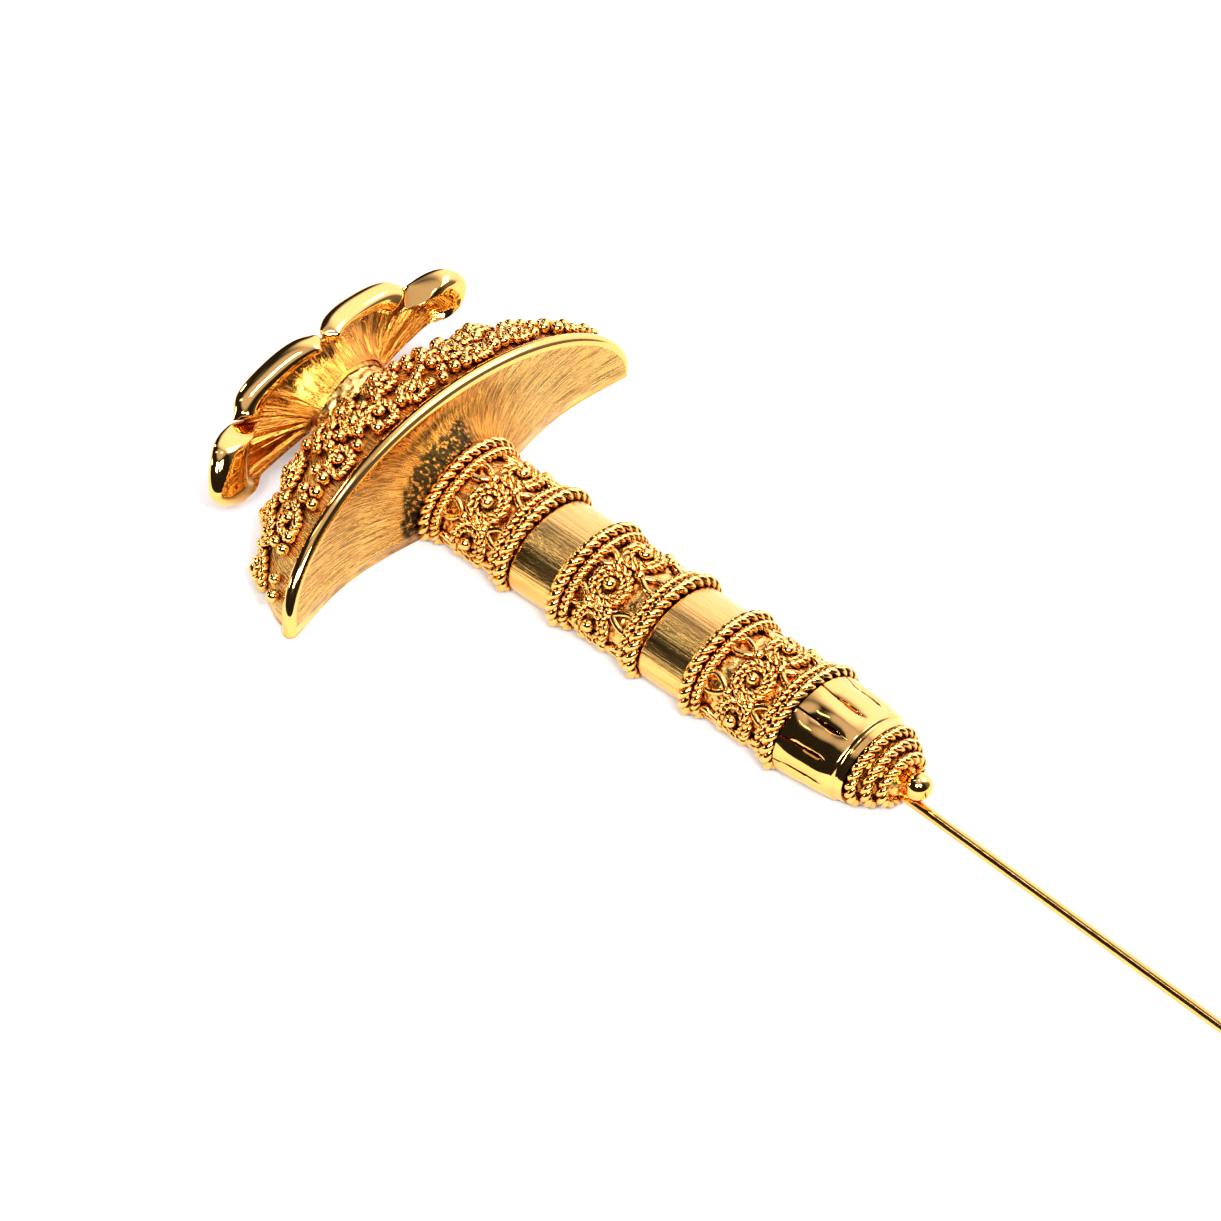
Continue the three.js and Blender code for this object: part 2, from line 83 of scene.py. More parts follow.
# The crescent guard
RIM_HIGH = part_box("guard_rim")[1]
HORN_Y = RIM_HIGH.y
HORN_Z = 0.9 * MM
CROWN_Z = RIM_HIGH.z
CROWN_X = -2.6 * MM            # the rim leans towards the finial at its crown
RIM_WIDTH = 1.15 * MM
RIM_PROUD = 0.55 * MM
SOLDER_GAP = 0.05 * MM
GUARD_LOW, GUARD_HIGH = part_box("guard_plate")
GUARD_FRONT_X = GUARD_HIGH.x
GUARD_DOME_X = GUARD_LOW.x
GUARD_SOCKET_HALF = CORE_HALF + 0.15 * MM
GUARD_COLLAR_HALF = 4.95 * MM
FLANK_SAG = 0.85 * MM
DOME_POWER = 0.6
SCROLLS = (                    # degrees round the dome, and 0 at the neck to 1 at the rim
    (9, 0.86), (17, 0.6), (14, 0.3), (45, 0.66), (90, 0.62), (135, 0.66), (166, 0.3), (163, 0.6), (171, 0.86),
)

# The finial
NECK_LOW, NECK_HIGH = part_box("neck_collar")
NECK_HALF = NECK_HIGH.y
NECK_Z = (NECK_LOW.z + NECK_HIGH.z) / 2
HUB_LOW, HUB_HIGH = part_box("finial_hub")
PETAL_ROOT_HALF = NECK_HALF + 0.3 * MM
PETAL_ROOT_X = NECK_LOW.x + 0.8 * MM
PETAL_THICKNESS = 0.8 * MM
LIP_THICKNESS = 1.75 * MM
LIP_SHARE = 0.85               # how far the lip stands to the pin side of the sheet
# Corners of each lip's middle line, as x, y and z in millimetres
SIDE_LIP = ((-11.5, 10.6, 1.2), (-11.3, 12.7, 2.0), (-11.3, 13.6, 3.7), (-12.4, 11.9, 6.0), (-13.2, 9.1, 5.8))
FAR_LIP = ((-11.5, 11.6, 3.7), (-11.7, 12.7, 4.1), (-12.0, 13.1, 4.7), (-12.5, 11.9, 6.0), (-13.2, 9.1, 5.8))
TOP_LIP = ((-13.3, 8.8, 5.9), (-14.0, 7.7, 6.8), (-14.2, 4.5, 7.6), (-13.8, 1.8, 8.1), (-13.2, 0.15, 8.0))
PETALS = ((SIDE_LIP, -1), (TOP_LIP, -1), (TOP_LIP, 1), (FAR_LIP, 1))

# The pin and its cap
PIN_LOW, PIN_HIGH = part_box("pin_wire")
CAP_LOW, CAP_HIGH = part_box("point_cap")
SLIDE = frame["joints"][0]
PIN_WAY = Vector(SLIDE["axis"]).normalized()
PIN_START = Vector((PIN_LOW.x, 0, (PIN_LOW.z + PIN_HIGH.z) / 2))
WIRE_R = (PIN_HIGH.z - PIN_LOW.z) / 2
CAP_BEAD_R = (CAP_HIGH.z - CAP_LOW.z) / 2


# Sizes and colours that a user would change

def colour_setting(name, description, default):
    return FloatVectorProperty(
        name=name, description=description, subtype="COLOR", size=3, min=0, max=1, default=default)


def length_setting(name, description, default):
    return FloatProperty(
        name=name, description=description, default=default, subtype="DISTANCE", unit="LENGTH")


def angle_setting(name, description, degrees):
    return FloatProperty(
        name=name, description=description, default=math.radians(degrees), subtype="ANGLE", unit="ROTATION")


class HatPinGold(bpy.types.PropertyGroup):
    """Colours of the gold plate, and of the shade painted on it"""

    bright: colour_setting("Bright gold", "Colour of clean plate", (1.0, 0.62, 0.19))
    warm: colour_setting("Warm gold", "Colour where the plate is thicker", (0.97, 0.53, 0.12))
    # amber is painted shade: the orange of the petals' shaded backs, the guard's shaded middle and
    # half-shaded hollows
    amber: colour_setting(
        "Amber gold", "Colour on the petals' backs and the middle of the guard", (0.76, 0.30, 0.042))
    # This colour is painted shade, deepest down in the hollows
    hollow_shade: colour_setting("Recess", "Colour down in the hollows", (0.22, 0.055, 0.006))


class HatPinRope(bpy.types.PropertyGroup):
    """Sizes of the twisted wire"""

    strands: IntProperty(name="Strands", description="Wires twisted together", default=2, min=1, max=4)
    strand: length_setting("Strand radius", "Half the thickness of one wire of a rope ring", 0.30 * MM)
    pitch: length_setting("Pitch", "Length of one full twist of a rope ring", 1.65 * MM)
    bead: length_setting("Bead radius", "Radius of the ball on each rosette", 0.48 * MM)
    rosette: length_setting("Rosette radius", "Outer radius of a coiled rosette", 1.7 * MM)


class HatPinStage(bpy.types.PropertyGroup):
    """Light, floor and camera"""

    azimuth: angle_setting("Azimuth", "Turn of the camera round the pin", 42.5)
    elevation: angle_setting("Elevation", "Height of the camera above the back plane", 46.7)
    lens: FloatProperty(
        name="Lens", description="Focal length in millimetres", default=1200, min=35, max=5000, unit="CAMERA")
    view_width: length_setting("View width", "Width of the view at the pin", 85.5 * MM)
    key: FloatProperty(name="Key", description="Brightness of the large soft light", default=4.6, min=0)
    spark: FloatProperty(name="Sparkle", description="Brightness of the small lamps", default=27, min=0)


# Node helpers

def add_node(tree, kind, values=None, **settings):
    """Adds a node; a value that is a socket is linked, and any other is set."""
    made = tree.nodes.new(kind)
    for name, value in settings.items():
        setattr(made, name, value)
    for name, value in (values or {}).items():
        socket = made.inputs[name]
        if isinstance(value, bpy.types.NodeSocket):
            tree.links.new(value, socket)
        elif value is not None:
            socket.default_value = value
    return made


def calculate(tree, operation, first, second=None, kind="ShaderNodeMath"):
    values = {0: first}
    if second is not None:
        values[1] = second
    return add_node(tree, kind, values, operation=operation).outputs[0]


def times(tree, product, *factors):
    for factor in factors:
        product = calculate(tree, "MULTIPLY", product, factor)
    return product


def split(tree, vector):
    return add_node(tree, "ShaderNodeSeparateXYZ", {0: vector}).outputs


def scaled(tree, vector, factor):
    return add_node(tree, "ShaderNodeVectorMath", {0: vector, "Scale": factor}, operation="SCALE").outputs[0]


def ramp(tree, value, low, high, start=0.0, end=1.0, smooth=False):
    """Takes low to start and high to end, and holds both beyond."""
    ends = {"Value": value, "From Min": low, "From Max": high, "To Min": start, "To Max": end}
    way = "SMOOTHSTEP" if smooth else "LINEAR"
    return add_node(tree, "ShaderNodeMapRange", ends, interpolation_type=way).outputs[0]


def blend(tree, factor, first, second):
    """Mixes two colours, each of them a socket or three numbers."""
    ends = [end if isinstance(end, bpy.types.NodeSocket) else (*end, 1) for end in (first, second)]
    mixed = add_node(tree, "ShaderNodeMix", {"Factor": factor, 6: ends[0], 7: ends[1]}, data_type="RGBA")
    return mixed.outputs[2]


def grain_noise(tree, place, scale, detail, roughness=0.5):
    values = {"Vector": place, "Scale": scale, "Detail": detail, "Roughness": roughness}
    return add_node(tree, "ShaderNodeTexNoise", values).outputs[0]


def rope_tree():
    """Twists wires along every run of edges, and sets a ball on every vertex that has a bead radius."""
    tree = bpy.data.node_groups.new("Rope and beads", "GeometryNodeTree")
    tree.interface.new_socket("Geometry", in_out="INPUT", socket_type="NodeSocketGeometry")
    for label, kind, value in (
        ("Strands", "NodeSocketInt", 2), ("Strand Radius", "NodeSocketFloat", 0.3 * MM),
        ("Lay Radius", "NodeSocketFloat", 0.25 * MM), ("Pitch", "NodeSocketFloat", 1.6 * MM),
        ("Spacing", "NodeSocketFloat", 0.14 * MM), ("Sides", "NodeSocketInt", 8),
        ("Bead Segments", "NodeSocketInt", 20), ("Material", "NodeSocketMaterial", None),
    ):
        socket = tree.interface.new_socket(label, in_out="INPUT", socket_type=kind)
        if value is not None:
            socket.default_value = value
    tree.interface.new_socket("Geometry", in_out="OUTPUT", socket_type="NodeSocketGeometry")
    given = add_node(tree, "NodeGroupInput").outputs

    def node(kind, values=None, output=0, **settings):
        return add_node(tree, "GeometryNode" + kind, values, **settings).outputs[output]

    path = node("MeshToCurve", {"Mesh": given["Geometry"]})
    path = node("ResampleCurve", {"Curve": path, "Length": given["Spacing"]}, mode="LENGTH")
    copies = add_node(tree, "GeometryNodeDuplicateElements", {"Geometry": path, "Amount": given["Strands"]},
                      domain="SPLINE").outputs
    length = node("SplineLength", output="Length")
    along = node("SplineParameter", output="Factor")
    twists = calculate(tree, "ROUND", calculate(tree, "DIVIDE", length, given["Pitch"]))
    share = calculate(tree, "DIVIDE", copies["Duplicate Index"], given["Strands"])
    swing = calculate(tree, "ADD", times(tree, along, twists, FULL_TURN), times(tree, share, FULL_TURN))
    tangent = node("InputTangent")
    normal = node("InputNormal")
    side = calculate(tree, "CROSS_PRODUCT", tangent, normal, "ShaderNodeVectorMath")
    outwards = calculate(
        tree, "ADD", scaled(tree, normal, calculate(tree, "COSINE", swing)),
        scaled(tree, side, calculate(tree, "SINE", swing)), "ShaderNodeVectorMath")
    offset = scaled(tree, outwards, given["Lay Radius"])
    laid = node("SetPosition", {"Geometry": copies["Geometry"], "Offset": offset})
    profile = node("CurvePrimitiveCircle", {
        "Resolution": given["Sides"], "Radius": given["Strand Radius"]}, "Curve")
    wires = node("CurveToMesh", {"Curve": laid, "Profile Curve": profile, "Fill Caps": True})

    size = node("InputNamedAttribute", {"Name": "bead_radius"}, "Attribute", data_type="FLOAT")
    has_bead = calculate(tree, "GREATER_THAN", size, 0.0)
    rings = calculate(tree, "DIVIDE", given["Bead Segments"], 2)
    ball = node("MeshUVSphere", {"Segments": given["Bead Segments"], "Rings": rings, "Radius": 1.0}, "Mesh")
    balls = node("InstanceOnPoints", {
        "Points": given["Geometry"], "Selection": has_bead, "Instance": ball, "Scale": size})

    both = add_node(tree, "GeometryNodeJoinGeometry")
    tree.links.new(wires, both.inputs[0])
    tree.links.new(balls, both.inputs[0])
    smooth = node("SetShadeSmooth", {"Geometry": both.outputs[0]})
    solid = node("RealizeInstances", {"Geometry": smooth})
    coated = node("SetMaterial", {"Geometry": solid, "Material": given["Material"]})
    add_node(tree, "NodeGroupOutput", {"Geometry": coated})
    return tree


class Filigree:
    """Runs of points and single beads that the rope tree turns into one piece."""

    def __init__(self, name):
        self.name = name
        self.points = []
        self.edges = []
        self.beads = []

    def run(self, points, closed=False):
        start = len(self.points)
        self.points.extend(points)
        self.beads.extend([0.0] * len(points))
        self.edges.extend((start + i, start + i + 1) for i in range(len(points) - 1))
        if closed:
            self.edges.append((start + len(points) - 1, start))

    def bead(self, point, radius):
        self.points.append(point)
        self.beads.append(radius)

    def grow(self, wire, pitch, spacing, sides, strands=2, lay=0.8, bead_segments=20):
        """The finished mesh; lay is how far each wire runs from the rope's middle, in wire radii."""
        mesh = bpy.data.meshes.new(self.name + "_path")
        mesh.from_pydata([tuple(p) for p in self.points], self.edges, [])
        mesh.attributes.new("bead_radius", "FLOAT", "POINT").data.foreach_set("value", self.beads)
        host = bpy.data.objects.new(self.name + "_path", mesh)
        bpy.context.scene.collection.objects.link(host)
        tree = bpy.data.node_groups.get("Rope and beads") or rope_tree()
        shape = host.modifiers.new("Shape", "NODES")
        shape.node_group = tree
        wanted = {
            "Strands": strands, "Strand Radius": wire, "Lay Radius": wire * lay, "Pitch": pitch,
            "Spacing": spacing, "Sides": sides, "Bead Segments": bead_segments,
            "Material": finish("filigree"),
        }
        for item in tree.interface.items_tree:
            if item.in_out == "INPUT" and item.name in wanted:
                shape[item.identifier] = wanted[item.name]
        depsgraph = bpy.context.evaluated_depsgraph_get()
        grown = bpy.data.meshes.new_from_object(host.evaluated_get(depsgraph), depsgraph=depsgraph)
        grown.name = self.name
        host.modifiers.clear()
        bpy.data.objects.remove(host)
        bpy.data.meshes.remove(mesh)
        return grown

    def add(self, *nodes, **sizes):
        """Grows the piece and adds it in place of its CAD nodes."""
        add_piece(self.grow(**sizes), "filigree", "filigree_gold", *nodes)


# Mesh helpers

def show(mesh):
    piece = bpy.data.objects.new(mesh.name, mesh)
    bpy.context.scene.collection.objects.link(piece)
    return piece


def join(mesh, other):
    """Moves the other mesh into the first."""
    work = bmesh.new()
    work.from_mesh(mesh)
    work.from_mesh(other)
    work.to_mesh(mesh)
    work.free()
    bpy.data.meshes.remove(other)


def add_piece(mesh, look, slot, *nodes, body="head"):
    """Shows a finished mesh, with its finish, its CAD nodes hidden and its body; slot is not used."""
    piece = show(mesh)
    mesh.materials.clear()
    mesh.materials.append(finish(look))
    if nodes:
        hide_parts(*nodes)
    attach(piece, body)


def solid_mesh(name, points, faces, coordinates=None, crease=40):
    """A closed mesh with its doubles merged and its faces turned outwards."""
    mesh = bpy.data.meshes.new(name)
    mesh.from_pydata([tuple(p) for p in points], [], faces)
    if coordinates is not None:
        layer = mesh.uv_layers.new(name="UVMap")
        corners = np.empty(len(mesh.loops), dtype=np.int64)
        mesh.loops.foreach_get("vertex_index", corners)
        layer.data.foreach_set("uv", np.asarray(coordinates)[corners].ravel())
    work = bmesh.new()
    work.from_mesh(mesh)
    bmesh.ops.remove_doubles(work, verts=work.verts, dist=0.0004 * MM)
    bmesh.ops.recalc_face_normals(work, faces=work.faces)
    if work.calc_volume(signed=True) < 0:
        bmesh.ops.reverse_faces(work, faces=work.faces)
    work.to_mesh(mesh)
    work.free()
    mesh.shade_smooth()
    mesh.set_sharp_from_angle(angle=math.radians(crease))
    return mesh


def grid_faces(rows, columns, start=0, wrap=False):
    faces = []
    last = columns if wrap else columns - 1
    for i in range(rows - 1):
        for j in range(last):
            k = (j + 1) % columns
            faces.append((start + i * columns + j, start + (i + 1) * columns + j,
                          start + (i + 1) * columns + k, start + i * columns + k))
    return faces


def shell(name, outer, inner, crease=40):
    """A closed body between two grids of points, with the grid's own lines as its map."""
    rows, columns = outer.shape[:2]
    count = rows * columns
    faces = grid_faces(rows, columns)
    faces += [tuple(reversed(face)) for face in grid_faces(rows, columns, count)]
    border = [(0, j) for j in range(columns)]
    border += [(i, columns - 1) for i in range(1, rows)]
    border += [(rows - 1, j) for j in range(columns - 2, -1, -1)]
    border += [(i, 0) for i in range(rows - 2, 0, -1)]
    ring = [i * columns + j for i, j in border]
    for here, there in zip(ring, ring[1:] + ring[:1]):
        faces.append((here, there, there + count, here + count))
    lines = np.stack(np.meshgrid(np.linspace(0, 1, rows), np.linspace(0, 1, columns), indexing="ij"), axis=-1)
    coordinates = np.concatenate([lines.reshape(-1, 2)] * 2)
    points = np.concatenate([outer.reshape(-1, 3), inner.reshape(-1, 3)])
    return solid_mesh(name, points, faces, coordinates, crease)


def turned(name, profile, segments, place, squash=1.0, crease=40):
    """Turned about a line: place(x, y, z) sends a point from the lathe to the pin."""
    ring = [(math.cos(t), squash * math.sin(t)) for t in once_round(segments)]
    points = [place(x, radius * y, radius * z) for x, radius in profile for y, z in ring]
    faces = grid_faces(len(profile), segments, wrap=True)
    return solid_mesh(name, points, faces, None, crease)


def arc(x, half, base, rise, start, count):
    """Profile points over a half oval, from an angle to its far end."""
    return [(x - half * math.cos(s), base + rise * math.sin(s)) for s in np.linspace(start, HALF_TURN, count)]


def once_round(count):
    return np.linspace(0, FULL_TURN, count, endpoint=False)


def ease(value):
    value = np.clip(value, 0, 1)
    return value * value * (3 - 2 * value)


def speckle(points, size, seed=0.0):
    """Smooth random heights between about -1 and 1 at an array of points."""
    flat = np.asarray(points).reshape(-1, 3) / size + seed
    values = [noise.noise(Vector(p)) for p in flat]
    return np.array(values).reshape(np.asarray(points).shape[:-1])


# The grip's flattened section

def section(x, half, turn):
    """A point on the section of a given half width, counted from +Y over the top."""
    z = AXIS_Z + half * SQUASH * math.sin(turn)
    return Vector((x, half * math.cos(turn), max(z, 0.0)))


def section_out(turn):
    return Vector((0, math.cos(turn) * SQUASH, math.sin(turn))).normalized()


def foot_turn(half, z=0.0):
    return math.asin(max(-1.0, (z - AXIS_Z) / (half * SQUASH)))


def arch(x, half, columns):
    start = foot_turn(half)
    return [section(x, half, t) for t in np.linspace(start, HALF_TURN - start, columns)]


def skin(name, stations, columns, shape=None):
    """A sleeve over the bar, from (x, half width) stations; shape(grid) may push its surface about."""
    outer = np.array([arch(x, half, columns) for x, half in stations])
    inner = np.array([arch(x, BORE_HALF, columns) for x, _ in stations])
    if shape:
        outer = shape(outer)
        outer[..., 2] = np.maximum(outer[..., 2], 0.0)
    return shell(name, outer, inner)


def outward(grid):
    """Unit directions away from the grip's axis, at a grid of points."""
    away = grid - np.array([0, 0, AXIS_Z])
    away[..., 0] = 0
    return away / np.linalg.norm(away, axis=-1, keepdims=True)


def rounded_ends(low, high, half, radius, rows):
    """Stations of a sleeve whose two ends are rolled over."""
    stations = [(low, BORE_HALF)]
    swings = np.linspace(0, QUARTER_TURN, 5)
    stations += [(low + radius * (1 - math.sin(s)), half - radius * (1 - math.cos(s))) for s in swings[::-1]]
    stations += [(x, half) for x in np.linspace(low + radius, high - radius, rows)[1:-1]]
    stations += [(high - radius * (1 - math.sin(s)), half - radius * (1 - math.cos(s))) for s in swings]
    stations.append((high, BORE_HALF))
    return stations


# Finishes

DRIFT_SCALE = 260.0
DEEP_SKY = (0.22, 0.5)         # shares of open sky between which the painted shade in a hollow goes from dark to amber
OPEN_SKY = (0.45, 0.9)         # and then from amber to clean plate
AMBER_CORE = 0.3               # part of the painted amber shade in the pin's middle that is fully amber
# Painted shade round the guard's collar: its colour, how far out it reaches, and the heights over which it
# comes in
COLLAR_SHADE = (0.05, 0.03, 0.008)
COLLAR_SHADE_EDGE = (GUARD_COLLAR_HALF - 0.1 * MM, GUARD_COLLAR_HALF + 0.3 * MM)
COLLAR_SHADE_HEIGHT = (3.4 * MM, 4.8 * MM)
COLLAR_SHADE_LEAN = 0.7             # how much a move towards -Y counts as height
SPECK_SCALE = 3600.0
RAGGED_SCALE = 1300.0
LIP_FADE = 0.05                # part of the map between a petal's field and its lip


def gold_tone(tree, place, shade_reach, amber):
    """The plate's colour: it drifts, has painted amber shade in the middle of the pin, and painted shade in
    its hollows.
    """
    gold = bpy.context.scene.hat_pin_gold
    tone = blend(tree, grain_noise(tree, place, DRIFT_SCALE, 3.0), gold.bright, gold.warm)
    # Painted shade: the middle of the pin is painted amber, darker than its sides.
    if amber:
        across = calculate(tree, "ABSOLUTE", split(tree, place)["Y"])
        middle = ramp(tree, across, amber * AMBER_CORE, amber, 1.0, 0.0, smooth=True)
        tone = blend(tree, middle, tone, gold.amber)
    # Painted shade: the less open sky round a point, the darker it is painted, first amber and then the
    # deepest hollow colour.
    sky = add_node(tree, "ShaderNodeAmbientOcclusion", {"Distance": shade_reach}, samples=6).outputs["AO"]
    sunk = blend(tree, ramp(tree, sky, *DEEP_SKY), gold.hollow_shade, gold.amber)
    return blend(tree, ramp(tree, sky, *OPEN_SKY), sunk, tone)


def collar_shade(tree, place, ragged):
    """Painted shade on the guard's flank: round its collar, on the upper side towards -Y, broken into specks.
    """
    centred = add_node(tree, "ShaderNodeMapping", {
        "Vector": place, "Location": (0, 0, -AXIS_Z / SQUASH), "Scale": (0, 1, 1 / SQUASH)}).outputs[0]
    reach = add_node(tree, "ShaderNodeVectorMath", {0: centred}, operation="LENGTH").outputs["Value"]
    rags = times(tree, grain_noise(tree, place, RAGGED_SCALE, 5.0), ragged)
    collar_falloff = ramp(tree, calculate(tree, "SUBTRACT", reach, rags), *COLLAR_SHADE_EDGE, 1.0, 0.0)
    spot = split(tree, place)
    height = calculate(tree, "SUBTRACT", spot["Z"], times(tree, spot["Y"], COLLAR_SHADE_LEAN))
    shade_specks = ramp(tree, grain_noise(tree, place, SPECK_SCALE, 3.0), 0.52, 0.64, 1.0, 0.1)
    return times(tree, collar_falloff, ramp(tree, height, *COLLAR_SHADE_HEIGHT), shade_specks)


def gold_finish(name, roughness, grain, depth, brushed=(1, 1, 1), on_map=False, shade_reach=0.5 * MM,
                cells=False, calm=None, shade_raggedness=None, amber=0.0, scored=0.0):
    """Gold plate with a worked grain.

    brushed stretches the grain, on_map lays it on the piece's own map and cells makes it hammered. scored
    is how much its strokes darken the colour. shade_reach is how far off a wall still darkens a hollow with
    painted shade. amber is the half width of the middle painted with amber shade, and shade_raggedness is how
    ragged the painted shade round the guard's collar is.
    calm is the part of a petal's map that is its worked field, painted with amber shade, before the polished
    lip.
    """
    material = bpy.data.materials.new(name)
    material.use_nodes = True
    tree = material.node_tree
    shader = tree.nodes["Principled BSDF"]
    shader.inputs["Metallic"].default_value = 1.0
    place = add_node(tree, "ShaderNodeTexCoord").outputs["Object"]
    colour = gold_tone(tree, place, shade_reach, amber)
    # Painted shade round the guard's collar, on the flank only
    if shade_raggedness:
        colour = blend(tree, collar_shade(tree, place, shade_raggedness), colour, COLLAR_SHADE)
    if on_map:
        place = add_node(tree, "ShaderNodeUVMap", uv_map="UVMap").outputs[0]
    stretched = add_node(tree, "ShaderNodeMapping", {"Vector": place, "Scale": brushed}).outputs[0]
    strokes = grain_noise(tree, stretched, grain, 4.0, 0.6)
    height = strokes
    if cells:
        height = add_node(tree, "ShaderNodeTexVoronoi", {"Vector": stretched, "Scale": grain}).outputs[0]
    rough = ramp(tree, strokes, 0.3, 0.7, roughness * 0.7, roughness * 1.4)
    if calm:
        field = ramp(tree, split(tree, place)["Y"], calm, calm + LIP_FADE, 1.0, 0.0)
        # Painted shade: the petal's field is painted amber, and the lip stays clean.
        colour = blend(tree, times(tree, field, 0.9), colour, bpy.context.scene.hat_pin_gold.amber)
        height = times(tree, height, field)
        rough = times(tree, rough, calculate(tree, "ADD", times(tree, field, 0.5), 0.5))
    if scored:
        shade = ramp(tree, strokes, 0.35, 0.55, 1 - scored, 1.0)
        if calm:
            shade = calculate(tree, "MAXIMUM", shade, calculate(tree, "SUBTRACT", 1.0, field))
        colour = scaled(tree, colour, shade)
    tree.links.new(colour, shader.inputs["Base Color"])
    tree.links.new(rough, shader.inputs["Roughness"])
    bump = add_node(tree, "ShaderNodeBump", {"Height": height, "Strength": 1.0, "Distance": depth})
    tree.links.new(bump.outputs[0], shader.inputs["Normal"])
    return material


SCORED = 0.28
PETAL_GRAIN = dict(
    grain=1.0, depth=0.06 * MM, brushed=(80, 4, 4), on_map=True, shade_reach=2.6 * MM, scored=0.5)
FINISHES = {
    "polished": dict(roughness=0.07, grain=900.0, depth=0.004 * MM),
    "satin_sleeve": dict(roughness=0.19, grain=1.0, depth=0.05 * MM, brushed=(170, 4200, 4200),
                         scored=SCORED),
    # The flank is painted with shade round its collar and with amber shade across its middle
    "satin_flank": dict(roughness=0.25, grain=1.0, depth=0.11 * MM, brushed=(230, 4, 4), on_map=True,
                        shade_raggedness=1.6 * MM, amber=9.5 * MM, scored=0.72),
    "filigree": dict(roughness=0.10, grain=4200.0, depth=0.012 * MM, shade_reach=0.8 * MM),
    "ground": dict(roughness=0.24, grain=2600.0, depth=0.06 * MM, cells=True, shade_reach=0.8 * MM),
    "hammered": dict(roughness=0.27, grain=2000.0, depth=0.05 * MM, cells=True, shade_reach=0.3 * MM),
    # The petals' fields, and all of the web, are painted with amber shade
    "petal": dict(roughness=0.1, calm=0.52, **PETAL_GRAIN),
    "petal_root": dict(roughness=0.2, calm=1.5, **PETAL_GRAIN),
    "drawn_wire": dict(roughness=0.12, grain=1.0, depth=0.004 * MM, brushed=(120, 9000, 9000), scored=SCORED),
    "turned_cap": dict(roughness=0.12, grain=1.0, depth=0.006 * MM, brushed=(9000, 200, 200), scored=SCORED),
}


def finish(name):
    return bpy.data.materials.get(name) or gold_finish(name, **FINISHES[name])


# Grip

SLEEVE_EDGE = 0.12 * MM
GROUND_EDGE = 0.1 * MM
GROUND_LUMP = 0.55 * MM        # size of the cast ground's lumps
GROUND_RISE = 0.09 * MM        # and their height
INNER_ROPE = 0.7               # the second rope ring against the first
TIGHT_LAY = 0.82
ROSETTE_WIRE = 0.2 * MM
ROSETTE_CORE_WIRE = 0.13 * MM
LEAF_WIRE = 0.27 * MM
LEAF_HALF = 0.85 * MM
LEAF_END = 1.3 * MM            # from a band's end


def ring_place(node):
    """The middle along the pin, half the thickness, and the half width to the middle of a ring's wire."""
    low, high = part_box(node)
    thickness = high.x - low.x
    return (low.x + high.x) / 2, thickness / 2, high.y - thickness / 2


class HATPIN_OT_grip(bpy.types.Operator):
    """Make the satin sleeves and give the inner bar its finish"""

    bl_idname = "hat_pin.grip"
    bl_label = "Grip"

    def execute(self, context):
        core = frame["nodes"]["grip_core"]
        core.data.materials.clear()
        core.data.materials.append(finish("satin_sleeve"))
        for number in SLEEVES:
            low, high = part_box(f"satin_sleeve_{number}")
            stations = rounded_ends(low.x, high.x, SATIN_HALF, SLEEVE_EDGE, 24)
            mesh = skin(f"brushed_sleeve_{number}", stations, 160)
            add_piece(mesh, "satin_sleeve", "satin_gold", f"satin_sleeve_{number}")
        return {"FINISHED"}


